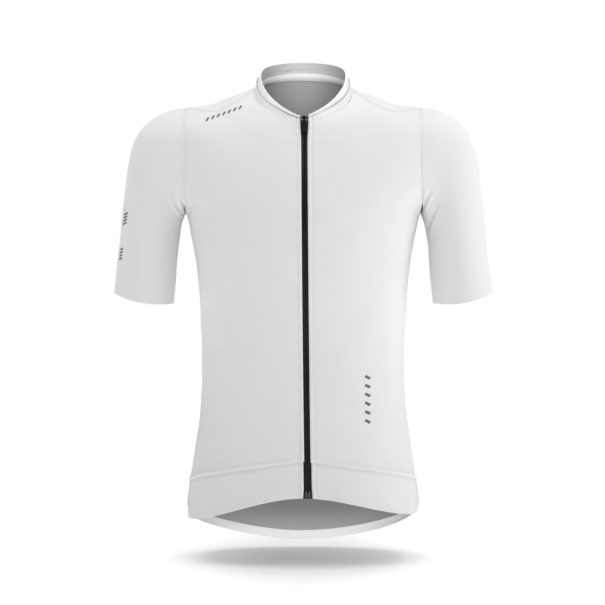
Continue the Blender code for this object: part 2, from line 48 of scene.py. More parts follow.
# The body's rings from the hem up, the same form that the panels' solids have.  A place on the
# body is an angle round it, 0 at the centre front and a quarter turn at the left side, and a
# level, which counts the rings upwards.
RING_COLUMNS = (
    "front_z", "front_y", "side_z", "side_x", "side_y", "back_z", "back_y",
    "squareness", "front_v", "front_fall", "back_fall",
)
BODY_RINGS = (
    (-585.6, -110.0, -622.5, 167.5, 0.0, -671.8, 106.0, 2.45, 0.0, 4.0, 1.70),
    (-572.0, -109.2, -609.0, 167.2, 0.0, -658.2, 105.8, 2.45, 0.0, 3.8, 1.66),
    (-534.8, -106.0, -573.5, 163.7, 0.0, -624.0, 104.5, 2.45, 0.8, 1.2, 1.72),
    (-507.0, -103.6, -547.0, 160.0, 0.0, -586.0, 102.3, 2.40, 0.2, 2.4, 1.80),
    (-484.0, -101.8, -513.0, 155.0, 0.0, -541.0, 98.8, 2.40, 0.0, 2.4, 1.80),
    (-454.0, -100.0, -472.0, 149.6, 0.0, -488.0, 94.4, 2.40, 0.0, 2.2, 1.70),
    (-420.0, -99.3, -426.0, 146.5, 0.0, -433.0, 91.0, 2.40, 0.0, 2.0, 1.60),
    (-379.0, -101.0, -379.0, 146.2, 0.0, -380.0, 90.0, 2.40, 0.0, 2.0, 1.50),
    (-330.0, -106.0, -330.0, 148.6, 0.0, -330.0, 93.0, 2.40, 0.0, 2.0, 1.50),
    (-284.0, -111.4, -281.0, 152.0, 1.0, -281.0, 98.0, 2.40, 0.0, 2.0, 1.50),
    (-247.0, -114.4, -245.0, 156.5, 2.0, -243.0, 103.0, 2.40, 0.0, 2.0, 1.50),
    (-216.0, -115.0, -213.0, 162.5, 3.0, -211.0, 107.5, 2.38, 0.0, 1.9, 1.50),
    (-187.0, -113.0, -183.0, 171.0, 4.0, -184.0, 110.0, 2.35, 0.0, 1.8, 1.50),
    (-174.0, -110.6, -160.0, 188.0, 4.0, -168.0, 111.0, 2.30, 0.0, 1.8, 1.50),
    (-161.0, -107.4, -135.0, 199.0, 3.0, -152.0, 111.2, 2.25, 0.0, 1.8, 1.50),
    (-148.5, -103.8, -110.0, 206.0, 2.0, -136.0, 110.6, 2.20, 0.0, 1.8, 1.50),
    (-136.0, -99.8, -86.0, 210.0, 1.0, -120.0, 109.2, 2.20, 0.0, 1.8, 1.50),
    (-124.0, -95.8, -65.0, 210.0, -1.0, -105.0, 107.2, 2.20, 0.0, 1.7, 1.50),
    (-113.0, -91.8, -48.0, 205.0, -3.0, -90.0, 104.6, 2.20, 0.0, 1.6, 1.45),
    (-102.5, -87.8, -36.5, 192.0, -4.0, -75.0, 101.5, 2.20, 0.0, 1.5, 1.40),
    (-93.0, -84.0, -32.0, 170.0, -5.0, -61.0, 98.0, 2.15, 0.1, 1.4, 1.30),
    (-87.0, -81.5, -29.0, 150.0, -4.0, -46.0, 93.5, 2.10, 0.3, 1.2, 1.25),
    (-81.0, -78.5, -25.0, 130.0, -2.0, -29.0, 88.0, 2.10, 0.5, 1.05, 1.20),
    (-75.0, -75.5, -17.0, 110.0, 0.0, -12.0, 81.0, 2.05, 0.7, 0.92, 1.15),
    (-68.5, -72.0, -9.0, 90.0, 2.0, 5.0, 72.5, 2.00, 0.85, 0.80, 1.10),
    (-60.0, -68.0, -3.5, 71.0, 5.0, 22.0, 62.0, 2.00, 1.0, 0.70, 1.10),
)
COLLAR_RIM = (-50.5, -62.5, 17.0, 62.5, 3.0, 43.0, 60.0, 2.00, 0.45, 1.12, 0.70)

# Levels that carry a seam or an edge
HEM = 0
GRIPPER_TOP = 1
FRONT_BAND_TOP = 2
POCKET_TOP = 5
WAIST = 8
ARMPIT = 12
SHOULDER = 20
NECK = 25
RIM = 26

SIDE_SEAM_AT_HEM = radians(72)
SIDE_SEAM_TURNS_BELOW = 4.5
SHOULDER_SEAM_FORWARD = radians(11)
ARMHOLE_HOLLOW = 4.5
ZIP_CENTRE_TOP = 1.5
ZIP_CENTRE_BOTTOM = 6.5
ZIP_LEAN = 1.6
ZIP_HALF_GAP = 4.4
THROAT_HALF_GAP = 5.4
BAND_HALF_GAP = 5.6
END_HALF_GAP = 6.6
THROAT_FADE = 26.0

# The hem hangs a little higher at the wearer's left side seam than at the right one
HEM_LIFT = 8.5
LIFT_LEVELS = 3.0
LIFT_IN_FRONT = 0.75
LIFT_BEHIND = 0.35


def smooth_rows(table, level):
    """The table's rows at levels between its own, on a smooth curve through all of them."""
    rows = np.asarray(table, float)
    level = np.asarray(level, float)
    below = np.clip(np.floor(level), 0, len(rows) - 2).astype(int)
    part = (level - below)[..., None]
    longer = np.vstack((2 * rows[0] - rows[1], rows, 2 * rows[-1] - rows[-2]))
    before, start, end, after = (longer[below + step] for step in range(4))
    ease = part * part * (3 - 2 * part)
    lead = part * (1 - part) ** 2 * (end - before) / 2
    trail = part * part * (part - 1) * (after - start) / 2
    return start + (end - start) * ease + lead + trail


def ring_at(level):
    """The body's rings at the levels, by column name; above the neck seam the collar's."""
    level = np.asarray(level, float)
    row = smooth_rows(BODY_RINGS, np.minimum(level, NECK))
    row = row + (np.array(COLLAR_RIM) - row) * np.clip(level - NECK, 0, 1)[..., None]
    return {name: row[..., index] for index, name in enumerate(RING_COLUMNS)}


def hem_lift(angle, level):
    """How much higher the surface is near the left side seam's foot."""
    away = angle - pi / 2
    spread = np.where(away < 0, LIFT_IN_FRONT, LIFT_BEHIND)
    fade = np.maximum(0.0, 1 - level / LIFT_LEVELS)
    return HEM_LIFT * np.exp(-(away / spread) ** 2) * fade ** 2


def body_point(angle, level):
    """Points of the body's outer face at angles round it and levels up it."""
    angle, level = np.broadcast_arrays(np.asarray(angle, float), np.asarray(level, float))
    ring = ring_at(level)
    in_front = np.cos(angle) >= 0
    depth = np.where(in_front, ring["side_y"] - ring["front_y"], ring["back_y"] - ring["side_y"])
    power = ring["squareness"]
    across = np.abs(np.sin(angle)) / ring["side_x"]
    along = np.abs(np.cos(angle)) / depth
    radius = (across ** power + along ** power) ** (-1 / power)
    turn = 1 - np.arctan2(across, along) / (pi / 2)
    centre_z = np.where(in_front, ring["front_z"], ring["back_z"])
    v_shape = np.where(in_front, ring["front_v"], 0.0)
    fall = np.where(in_front, ring["front_fall"], ring["back_fall"])
    share = (v_shape * turn + (1 - v_shape) * np.sin(turn * pi / 2)) ** fall
    height = ring["side_z"] + (centre_z - ring["side_z"]) * share + hem_lift(angle, level)
    return np.stack((radius * np.sin(angle), ring["side_y"] - radius * np.cos(angle), height), axis=-1)


def angle_at_x(x, level, in_front=True):
    """The angles at which the rings at the levels are x from the middle."""
    ring = ring_at(level)
    depth = np.where(in_front, ring["side_y"] - ring["front_y"], ring["back_y"] - ring["side_y"])
    power = ring["squareness"]
    reach = np.minimum(np.abs(x) / ring["side_x"], 1.0)
    forward = depth * (1 - reach ** power) ** (1 / power)
    return np.arctan2(x, np.where(in_front, forward, -forward))


def zip_centre(height):
    """How far the zip's line is to the wearer's left of the middle at a height."""
    part = (COLLAR_RIM[0] - height) / (COLLAR_RIM[0] - BODY_RINGS[HEM][0])
    return ZIP_CENTRE_TOP + (ZIP_CENTRE_BOTTOM - ZIP_CENTRE_TOP) * np.maximum(part, 0.0) ** ZIP_LEAN


def zip_edge(level, side, band=False):
    """The angle of a front's edge beside the zip; side is 1 on the left, -1 on the right."""
    height = ring_at(level)["front_z"]
    throat = np.clip(1 - (BODY_RINGS[NECK][0] - height) / THROAT_FADE, 0, 1)
    gap = ZIP_HALF_GAP + (THROAT_HALF_GAP - ZIP_HALF_GAP) * throat
    if band:
        gap = BAND_HALF_GAP + (END_HALF_GAP - BAND_HALF_GAP) * np.clip(GRIPPER_TOP - level, 0, 1)
    return angle_at_x(zip_centre(height) + side * gap, level)


def armhole_angle(level, in_front):
    """The angle at which the rings meet the armhole, which is hollowed a little."""
    part = (level - ARMPIT) / (SHOULDER - ARMPIT)
    low, high = BODY_RINGS[ARMPIT][3], BODY_RINGS[SHOULDER][3]
    seam_x = low + (high - low) * part - ARMHOLE_HOLLOW * np.sin(pi * np.clip(part, 0, 1))
    return angle_at_x(seam_x, level, in_front)


def outer_edge(level, in_front=True):
    """The angle of a panel's outer edge: side seam, armhole, then shoulder seam."""
    level = np.asarray(level, float)
    below = np.maximum(0.0, (SIDE_SEAM_TURNS_BELOW - level) / SIDE_SEAM_TURNS_BELOW)
    side_seam = pi / 2 - (pi / 2 - SIDE_SEAM_AT_HEM) * below ** 2
    part = np.clip((level - SHOULDER) / (NECK - SHOULDER), 0, 1)
    shoulder_seam = pi / 2 - SHOULDER_SEAM_FORWARD * np.sin(pi * part)
    armhole = armhole_angle(np.clip(level, ARMPIT, SHOULDER), in_front)
    return np.where(level <= ARMPIT, side_seam, np.where(level < SHOULDER, armhole, shoulder_seam))


# Creases, each a soft trough with low ridges beside it: the face it is seen on, front or back,
# the x and z of its start and of its end, how far it bows, and its depth and half width.  The
# armpits have the sharp ones, and the rest are long and shallow.
FRONT, BACK = -1, 1
CREASES = (
    (FRONT, -171, -190, -186, -158, 2.5, 2.4, 2.3),
    (FRONT, -170, -188, -175, -163, -1.5, 2.2, 1.5),
    (FRONT, -168, -189, -165, -166, 1.5, 1.9, 1.4),
    (FRONT, -167, -193, -158, -172, -2.0, 1.5, 1.6),
    (FRONT, -166, -201, -158, -224, 1.5, 1.0, 1.7),
    (FRONT, -161, -216, -152, -246, -2.0, 0.9, 2.0),
    (FRONT, -177, -198, -186, -222, 2.0, 1.0, 2.4),
    (FRONT, -150, -178, -118, -160, 6.0, 0.7, 7.0),
    (FRONT, 171, -190, 181, -156, 2.5, 3.8, 2.3),
    (FRONT, 168, -188, 170, -166, -1.0, 2.0, 1.5),
    (FRONT, 179, -222, 193, -172, 4.0, 3.0, 3.0),
    (FRONT, 181, -262, 186, -214, 2.0, 1.2, 3.6),
    (FRONT, 164, -197, 157, -222, 1.5, 0.9, 1.8),
    (FRONT, 158, -214, 151, -243, -2.0, 0.7, 2.2),
    (FRONT, 150, -176, 120, -160, -6.0, 0.6, 7.0),
    (FRONT, -139, -398, -92, -372, 7.0, 0.7, 8.0),
    (FRONT, 141, -410, 98, -384, -8.0, 0.6, 9.0),
    (FRONT, -128, -300, -70, -286, -6.0, 0.5, 10.0),
    (FRONT, 62, -262, 126, -280, 7.0, 0.45, 10.0),
    (FRONT, -84, -470, -40, -440, 6.0, 0.45, 8.0),
    (FRONT, 70, -476, 34, -452, -5.0, 0.4, 8.0),
    (BACK, -171, -188, -188, -156, 2.5, 2.2, 3.0),
    (BACK, -169, -186, -173, -160, -1.5, 1.3, 2.2),
    (BACK, -165, -190, -146, -158, 4.0, 1.6, 3.6),
    (BACK, -160, -206, -118, -178, 6.0, 1.0, 6.0),
    (BACK, -182, -232, -192, -186, 3.0, 1.6, 3.6),
    (BACK, 171, -189, 184, -160, 2.5, 2.0, 2.8),
    (BACK, 168, -187, 168, -162, -1.5, 1.4, 2.2),
    (BACK, 164, -192, 141, -162, -4.0, 1.5, 3.8),
    (BACK, 158, -212, 108, -190, -7.0, 0.9, 6.5),
    (BACK, 181, -240, 194, -184, 3.0, 1.5, 3.8),
    (BACK, -88, -64, -22, -78, 8.0, 0.8, 8.0),
    (BACK, 76, -58, 20, -82, -7.0, 0.7, 8.5),
    (BACK, -118, -392, -34, -410, 9.0, 1.3, 8.5),
    (BACK, 16, -404, 112, -386, 10.0, 1.1, 9.0),
    (BACK, -104, -430, 12, -446, 8.0, 1.0, 8.0),
    (BACK, 34, -438, 122, -424, 7.0, 1.2, 7.5),
    (BACK, -132, -336, -66, -356, 7.0, 0.8, 10.0),
    (BACK, 128, -326, 58, -350, -8.0, 0.8, 10.0),
    (BACK, -140, -470, -120, -412, -5.0, 1.0, 7.0),
    (BACK, 138, -478, 121, -418, 5.0, 0.9, 7.0),
)
CREASE_POINTS = 9
RIDGE_HEIGHT = 0.42
RIDGE_OFF = 1.9
RIDGE_HALF_WIDTH = 0.95

# Slow unevenness of the cloth: wavelengths across and up, height and phase of each wave
SWELL_WAVES = (
    (118.0, 171.0, 0.34, 0.7), (67.0, -92.0, 0.22, 2.1), (203.0, 58.0, 0.24, 4.0), (41.0, 77.0, 0.09, 1.3),
)


def crease_height(points, normals):
    """How far the creases and the slow unevenness move each point out along its normal."""
    x, z = points[..., 0], points[..., 2]
    height = np.zeros(x.shape)
    for face, start_x, start_z, end_x, end_z, bow, depth, half_width in CREASES:
        run = np.array((end_x - start_x, end_z - start_z), float)
        length = np.hypot(*run)
        part = np.linspace(0, 1, CREASE_POINTS)
        sideways = np.array((-run[1], run[0])) / length
        line = np.array((start_x, start_z)) + part[:, None] * run
        line = line + sideways * (bow * np.sin(pi * part))[:, None]
        reach = 4 * half_width
        near = (np.abs(x - line[:, 0].mean()) < length / 2 + abs(bow) + reach)
        near &= (np.abs(z - line[:, 1].mean()) < length / 2 + abs(bow) + reach)
        if not near.any():
            continue
        spot = np.stack((x[near], z[near]), axis=-1)
        best = np.full(len(spot), np.inf)
        along = np.zeros(len(spot))
        for index in range(CREASE_POINTS - 1):
            step = line[index + 1] - line[index]
            share = np.clip(((spot - line[index]) @ step) / (step @ step), 0, 1)
            away = np.linalg.norm(spot - line[index] - share[:, None] * step, axis=1)
            nearer = away < best
            best = np.where(nearer, away, best)
            along = np.where(nearer, (index + share) / (CREASE_POINTS - 1), along)
        soft_ends = np.sin(pi * np.clip(along, 0.02, 0.98)) ** 0.7
        width = half_width * (0.65 + 0.5 * along)
        trough = np.exp(-(best / width) ** 2)
        ridges = RIDGE_HEIGHT * np.exp(-((best - RIDGE_OFF * width) / (RIDGE_HALF_WIDTH * width)) ** 2)
        facing = np.clip(0.25 + 1.6 * face * normals[..., 1][near], 0, 1)
        height[near] += depth * (ridges - trough) * soft_ends * facing
    for wave_x, wave_z, rise, phase in SWELL_WAVES:
        slant = points[..., 1] / wave_x
        height += rise * np.sin(2 * pi * (x / wave_x + slant) + phase) * np.sin(2 * pi * z / wave_z + phase)
    return height


def grid_normals(grid, middles):
    """Unit normals of a grid of points, turned away from the middle of each row."""
    around = np.gradient(grid, axis=1)
    upward = np.gradient(grid, axis=0)
    normals = np.cross(around, upward)
    normals /= np.maximum(np.linalg.norm(normals, axis=-1, keepdims=True), 1e-9)
    turned_in = np.sum(normals * (grid - middles), axis=-1).mean() < 0
    return -normals if turned_in else normals


def lengths_along(grid, axis):
    """Distances along a grid's rows or columns, from their first point."""
    steps = np.linalg.norm(np.diff(grid, axis=axis), axis=-1)
    start = np.zeros_like(np.take(steps, [0], axis=axis))
    return np.concatenate((start, np.cumsum(steps, axis=axis)), axis=axis)


# Edge forms: how the cloth rises or dips with the distance from an edge, as soft bumps of a
# place, a half width and a height
EDGE_FORMS = {
    "seam": ((0.0, 1.2, -0.24), (3.0, 1.7, 0.10)),
    "neck": ((0.0, 1.4, -0.06),),
    "turned": ((0.0, 0.7, -0.75), (2.5, 2.3, 0.6), (6.0, 0.8, -0.55)),
    "piped": ((0.0, 1.0, -0.5), (3.8, 3.0, 1.35)),
    "tucked": ((0.0, 3.4, -1.0),),
    "hemmed": ((0.0, 0.8, -0.3), (4.5, 5.0, 0.18)),
    "folded": ((0.0, 0.9, -0.40), (7.5, 2.6, -0.05)),
    "free": ((0.0, 0.6, -0.12),),
}
SEWN_WAVE = 7.3
SEWN_WAVE_HEIGHT = 0.10
FINE_STEPS = (0.0, 0.45, 0.95, 1.6, 2.4, 3.3, 4.2, 5.0, 5.6, 6.1, 6.8, 8.0, 10.0)
CLOTH_STEP = 3.0


def edge_height(distance, along, form):
    """The edge form's height at distances from the edge, with slight puckers along it."""
    height = np.zeros(distance.shape)
    for place, half_width, rise in EDGE_FORMS[form]:
        height += rise * np.exp(-((distance - place) / half_width) ** 2)
    puckers = np.sin(2 * pi * along / SEWN_WAVE) * np.sin(2 * pi * along / (SEWN_WAVE * 3.7) + 1)
    if form != "free":
        height += SEWN_WAVE_HEIGHT * puckers * np.exp(-(distance / 6.0) ** 2)
    return height


def spaced(total, longest, step, fine):
    """Places along a row, about a step apart on the longest row and finer at its sewn ends."""
    low, high = (np.array(FINE_STEPS if sewn_end else (0.0,)) for sewn_end in fine)
    count = max(2, int((longest - low[-1] - high[-1]) / step))
    middle = np.linspace(low[-1], total - high[-1], count + 1)[1:-1]
    return np.concatenate((low, middle, total - high[::-1]))


def fine_levels(lowest, highest, step=CLOTH_STEP, fine=(True, True)):
    """Levels between two named ones, about a step apart on the cloth."""
    ends = np.linspace(lowest, highest, 400)
    ring = ring_at(ends)
    moves = []
    for across, up in (("front_y", "front_z"), ("side_x", "side_z"), ("back_y", "back_z")):
        moves.append(np.hypot(np.diff(ring[across]), np.diff(ring[up])))
    along = np.append(0.0, np.cumsum(np.mean(moves, axis=0)))
    return np.interp(spaced(along[-1], along[-1], step, fine), along, ends)


def panel_grid(levels, first_angle, last_angle, surface=body_point, step=CLOTH_STEP, fine=(True, True)):
    """A grid of surface points: a row for each level, from its first angle to its last."""
    samples = []
    for level in levels:
        angles = np.linspace(float(first_angle(level)), float(last_angle(level)), 160)
        samples.append((angles, lengths_along(surface(angles, level)[None], 1)[0]))
    longest = max(length[-1] for _, length in samples)
    rows = []
    for level, (angles, length) in zip(levels, samples):
        places = spaced(length[-1], longest, step, fine)
        rows.append(surface(np.interp(places, length, angles), level))
    return np.array(rows)


CLOTH_MAP = "cloth"
KNIT_WALE = 0.00095
KNIT_COURSE = 0.00072
YARN_STREAKS = (14, 620, 1)
YARN_TONES = (0.97, 1.0)


def add_node(tree, kind, sockets=(), **settings):
    """A node whose sockets take plain values, or links from other nodes' outputs."""
    node = tree.nodes.new(kind)
    for name, value in settings.items():
        setattr(node, name, value)
    for name, value in dict(sockets).items():
        if isinstance(value, bpy.types.NodeSocket):
            tree.links.new(value, node.inputs[name])
        else:
            node.inputs[name].default_value = value
    return node


def new_finish(name, values):
    """A material, its tree and its shader, which holds the values that are the same all over."""
    material = bpy.data.materials.new(name)
    material.use_nodes = True
    shader = material.node_tree.nodes["Principled BSDF"]
    for socket, value in values.items():
        shader.inputs[socket].default_value = value
    return material, material.node_tree, shader


def raised(tree, shader, height, strength, depth, over=None):
    """Bumps the shader's surface by a height, on top of an earlier bump if one is given."""
    bump = add_node(tree, "ShaderNodeBump", {"Strength": strength, "Distance": depth, "Height": height})
    if over is not None:
        tree.links.new(over, bump.inputs["Normal"])
    tree.links.new(bump.outputs["Normal"], shader.inputs["Normal"])
    return bump.outputs["Normal"]


def knit(name, colour, courses=1.0, depth=0.00012):
    """A knitted cloth: rows of small loops on the piece's own UV map, which is in metres."""
    material, tree, shader = new_finish(name, {
        "Roughness": 0.82, "Sheen Weight": 0.3, "Sheen Roughness": 0.45, "Specular IOR Level": 0.25,
    })

    def sums(operation, first, second=0.0):
        return add_node(tree, "ShaderNodeMath", {0: first, 1: second}, operation=operation).outputs[0]

    place = add_node(tree, "ShaderNodeUVMap", uv_map=CLOTH_MAP).outputs["UV"]
    parts = add_node(tree, "ShaderNodeSeparateXYZ", {"Vector": place}).outputs
    wale = sums("MULTIPLY", parts["X"], 1 / (KNIT_WALE * courses))
    leg = sums("ABSOLUTE", sums("SUBTRACT", sums("FRACT", wale), 0.5))
    course = sums("MULTIPLY", parts["Y"], 1 / (KNIT_COURSE * courses))
    row = sums("ADD", course, sums("MULTIPLY", leg, 0.9))
    loop = sums("SINE", sums("MULTIPLY", row, 2 * pi))
    rib = sums("SINE", sums("MULTIPLY", leg, 2 * pi))
    surface = sums("ADD", sums("MULTIPLY", loop, 0.5), sums("MULTIPLY", rib, 0.8))

    stretch = add_node(tree, "ShaderNodeMapping", {"Scale": YARN_STREAKS, "Vector": place}).outputs[0]
    noise = {"Scale": 1.0, "Detail": 3.0, "Vector": stretch}
    yarn = add_node(tree, "ShaderNodeTexNoise", noise).outputs["Fac"]
    tone = add_node(tree, "ShaderNodeMapRange", {
        "From Min": 0.3, "From Max": 0.7, "To Min": YARN_TONES[0], "To Max": YARN_TONES[1], "Value": yarn,
    }).outputs["Result"]
    grey = add_node(tree, "ShaderNodeCombineColor", {0: tone, 1: tone, 2: tone}).outputs["Color"]
    shades = {"Factor": 1.0, "A": (*colour, 1), "B": grey}
    shade = add_node(tree, "ShaderNodeMix", shades, data_type="RGBA", blend_type="MULTIPLY")
    tree.links.new(shade.outputs["Result"], shader.inputs["Base Color"])
    raised(tree, shader, sums("ADD", surface, sums("MULTIPLY", yarn, 2.0)), 0.5, depth)
    return material


def placed(name, data):
    """A new object in the scene."""
    thing = bpy.data.objects.new(name, data)
    bpy.context.scene.collection.objects.link(thing)
    return thing


CLOTH_THICKNESS = 0.9
THIN_TAPE = 0.8
DOUBLED_KNIT = 1.3
HEM_ELASTIC = 1.2
ROUND_EDGE = 0.22
STITCH_MARGIN = 2.2
THREAD_LIFT = 0.1


def cloth_shell(name, outside, inside, cloth_uv, materials):
    """A thin closed shell between two grids in millimetres, its edges rounded off.

    The first material is the outer face's and the last one is the inner face's.
    """
    rows, columns = outside.shape[:2]
    count = rows * columns
    number = np.arange(count).reshape(rows, columns)
    loop = np.concatenate((number[0, :-1], number[:-1, -1], number[-1, :0:-1], number[:0:-1, 0]))
    away = np.zeros_like(outside)
    for edge, next_in in ((0, 1), (-1, -2)):
        away[edge] += outside[edge] - outside[next_in]
        away[:, edge] += outside[:, edge] - outside[:, next_in]
    outer, inner = outside.reshape(-1, 3), inside.reshape(-1, 3)
    outward = away.reshape(-1, 3)[loop]
    outward /= np.maximum(np.linalg.norm(outward, axis=1, keepdims=True), 1e-9)
    rim = (outer[loop] + inner[loop]) / 2 + outward * ROUND_EDGE
    vertices = np.concatenate((outer, inner, rim)) * MM
    flat_uv = cloth_uv.reshape(-1, 2)
    corner_uv = np.concatenate((flat_uv, flat_uv, flat_uv[loop])) * MM

    corners = number[:-1, :-1], number[:-1, 1:], number[1:, 1:], number[1:, :-1]
    face = np.stack([corner.ravel() for corner in corners], axis=1)
    following = np.roll(loop, -1)
    rim_number = 2 * count + np.arange(len(loop))
    next_rim = np.roll(rim_number, -1)
    lip = np.stack((following, loop, rim_number, next_rim), axis=1)
    under = np.stack((next_rim, rim_number, loop + count, following + count), axis=1)
    quads = np.concatenate((face, face[:, ::-1] + count, lip, under))
    middle = number[rows // 2, columns // 2]
    across, upward = outer[middle + 1] - outer[middle], outer[middle + columns] - outer[middle]
    if np.dot(np.cross(across, upward), outer[middle] - inner[middle]) < 0:
        quads = quads[:, ::-1]
    slots = np.zeros(len(quads), np.int32)
    slots[len(face):2 * len(face)] = len(materials) - 1

    mesh = bpy.data.meshes.new(name)
    mesh.vertices.add(len(vertices))
    mesh.vertices.foreach_set("co", vertices.astype(np.float32).ravel())
    mesh.loops.add(quads.size)
    mesh.loops.foreach_set("vertex_index", quads.astype(np.int32).ravel())
    mesh.polygons.add(len(quads))
    mesh.polygons.foreach_set("loop_start", np.arange(0, quads.size, 4, dtype=np.int32))
    mesh.polygons.foreach_set("material_index", slots)
    mesh.update(calc_edges=True)
    layer = mesh.uv_layers.new(name=CLOTH_MAP)
    layer.data.foreach_set("uv", corner_uv[quads.ravel()].astype(np.float32).ravel())
    for material in materials:
        mesh.materials.append(material)
    mesh.shade_smooth()
    return placed(name, mesh)


class Cloth:
    """A cut piece laid on the form: its two faces, and the distances from its edges."""

    def __init__(self, grid, edges, level_row=0, outer=0.0, thickness=CLOTH_THICKNESS, middles=None):
        if middles is None:
            middles = grid * np.array((0.0, 0.0, 1.0))
        normals = grid_normals(grid, middles)
        across, upward = lengths_along(grid, 1), lengths_along(grid, 0)
        self.distance = {
            "start": across, "end": across[:, -1:] - across,
            "bottom": upward, "top": upward[-1:] - upward,
        }
        height = outer + crease_height(grid, normals)
        for edge, form in edges.items():
            along = upward if edge in ("start", "end") else across
            height = height + edge_height(self.distance[edge], along, form)
        self.outside = grid + normals * height[..., None]
        self.normals = grid_normals(self.outside, middles)
        self.inside = self.outside - self.normals * thickness
        self.uv = np.stack((across, upward - upward[level_row] + grid[level_row, :, 2]), axis=-1)

    def sewn(self, name, materials, node, slot="knit", **sheet):
        """The piece on the jersey, in place of its CAD node."""
        piece = cloth_shell(name, self.outside, self.inside, self.uv, materials)
        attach(piece, "jersey")
        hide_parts(node)

    def line_beside(self, edge, distance):
        """The points of the outer face at a distance from an edge, lifted off it a little."""
        points = self.outside + self.normals * THREAD_LIFT
        away = self.distance[edge]
        if edge in ("bottom", "top"):
            points, away = points.swapaxes(0, 1), away.swapaxes(0, 1)
        if edge in ("end", "top"):
            points, away = points[:, ::-1], away[:, ::-1]
        line = []
        for row, reach in zip(points, away):
            line.append([np.interp(distance, reach, row[:, axis]) for axis in range(3)])
        line = np.array(line)
        run = lengths_along(line[None], 1)[0]
        return line[(run >= STITCH_MARGIN) & (run <= run[-1] - STITCH_MARGIN)]


SIDES = ((-1, "right"), (1, "left"))
front_knit = knit("white_race_knit", (0.845, 0.845, 0.85))
# The inner faces are a grey copy of the white knit: painted shade for the dim inside of the jersey.
inside_knit_painted_shade = knit("white_race_knit_inside_painted_shade", (0.60, 0.60, 0.605), depth=0.0002)
front_levels = fine_levels(FRONT_BAND_TOP, NECK)
fronts = {}
for side, word in SIDES:
    grid = panel_grid(
        front_levels, lambda level: zip_edge(level, side), lambda level: side * outer_edge(level),
    )
    fronts[word] = Cloth(
        grid, {"start": "turned", "end": "seam", "bottom": "piped", "top": "neck"},
        level_row=int(np.argmin(np.abs(front_levels - WAIST))),
    )
    fronts[word].sewn(
        "front_" + word, (front_knit, inside_knit_painted_shade), "front_panel_" + word,
        flat=(0.245, 0.520), area=0.1040, rests_on=["zip_tape_" + word + "_woven"],
    )

# ==== Front hem bands ====
# A turned band of the same knit closes each front below a raised seam.  Inside its lower edge
# lies a strip of silicone-dotted elastic that keeps the hem from riding up.

bands = {}
for side, word in SIDES:
    grid = panel_grid(
        fine_levels(HEM, FRONT_BAND_TOP),
        lambda level: zip_edge(level, side, band=True),
        lambda level: side * outer_edge(level),
    )
    bands[word] = Cloth(grid, {"start": "turned", "end": "seam", "bottom": "hemmed", "top": "tucked"})
    bands[word].sewn(
        "front_band_" + word, (front_knit, inside_knit_painted_shade), "front_hem_" + word,
        flat=(0.190, 0.075), area=0.0100, rests_on=["front_" + word],
    )


def ribbed(name, values, rib, across="X", waver=(0.4, 1.0), strength=0.5, depth=0.0002, dots=0.0):
    """Woven tape or elastic with fine ribs, and silicone dots of a given spacing."""
    material, tree, shader = new_finish(name, values)
    place = add_node(tree, "ShaderNodeUVMap", uv_map=CLOTH_MAP).outputs["UV"]
    ribs = {"Scale": 1 / rib / pi, "Distortion": waver[0], "Detail": waver[1], "Vector": place}
    weave = add_node(tree, "ShaderNodeTexWave", ribs, bands_direction=across)
    woven = raised(tree, shader, weave.outputs["Fac"], strength, depth)
    if dots:
        beads = {"Scale": 1 / dots, "Randomness": 0.0, "Vector": place}
        away = add_node(tree, "ShaderNodeTexVoronoi", beads).outputs["Distance"]
        edge = {"From Min": 0.28, "From Max": 0.20, "Value": away}
        ball = add_node(tree, "ShaderNodeMapRange", edge).outputs["Result"]
        raised(tree, shader, ball, 0.8, 0.0004, over=woven)
    return material


def elastic(name, colour, rib=0.0013, dots=0.0):
    """White elastic or twill tape."""
    values = {"Base Color": (*colour, 1), "Roughness": 0.7, "Sheen Weight": 0.2}
    return ribbed(name, values, rib, dots=dots)


GRIPPER_DEPTH = -1.4
GRIPPER_START = 14.0
gripper_elastic = elastic("silicone_dotted_elastic", (0.88, 0.88, 0.885), dots=0.004)
for side, word in SIDES:
    grid = panel_grid(
        fine_levels(HEM, GRIPPER_TOP, fine=(False, False)),
        lambda level: angle_at_x(zip_centre(ring_at(level)["front_z"]) + side * GRIPPER_START, level),
        lambda level: side * outer_edge(level),
        fine=(False, False),
    )
    Cloth(grid, {}, outer=GRIPPER_DEPTH, thickness=THIN_TAPE).sewn(
        "gripper_" + word, (gripper_elastic,), "front_gripper_" + word, slot="elastic",
        flat=(0.170, 0.0136), rests_on=["front_band_" + word],
    )

# ==== Back panel and its hem elastic ====
# One back panel of lighter knit, longer than the fronts, from side seam to side seam and up to
# the shoulders and neck.  Its foot is finished with a plain band of ribbed elastic.

BACK_STEP = 3.3
back_levels = fine_levels(GRIPPER_TOP, NECK, step=BACK_STEP)
grid = panel_grid(
    back_levels,
    lambda level: outer_edge(level, in_front=False),
    lambda level: 2 * pi - outer_edge(level, in_front=False),
    step=BACK_STEP,
)
back = Cloth(
    grid, {"start": "seam", "end": "seam", "bottom": "tucked", "top": "neck"},
    level_row=int(np.argmin(np.abs(back_levels - WAIST))),
)
# The back's inner face is a darker grey copy of the knit: painted shade for the deep inside of the back,
# seen through the neck and the hem.
back_inside_knit_painted_shade = knit("light_back_knit_inside_painted_shade", (0.46, 0.46, 0.465), courses=1.1, depth=0.0002)
back.sewn(
    "back", (front_knit, back_inside_knit_painted_shade), "back_panel",
    flat=(0.500, 0.690), area=0.2690, rests_on=["front_left", "front_right"],
)

grid = panel_grid(
    fine_levels(HEM, GRIPPER_TOP, step=2.0, fine=(False, True)),
    lambda level: outer_edge(level),
    lambda level: 2 * pi - outer_edge(level),
)
back_band = Cloth(
    grid, {"start": "seam", "end": "seam", "bottom": "free", "top": "tucked"}, thickness=HEM_ELASTIC,
)
back_band.sewn(
    "back_band", (elastic("white_hem_elastic", (0.93, 0.93, 0.93)),), "back_hem_band",
    slot="elastic", flat=(0.465, 0.0145), rests_on=["back"],
)

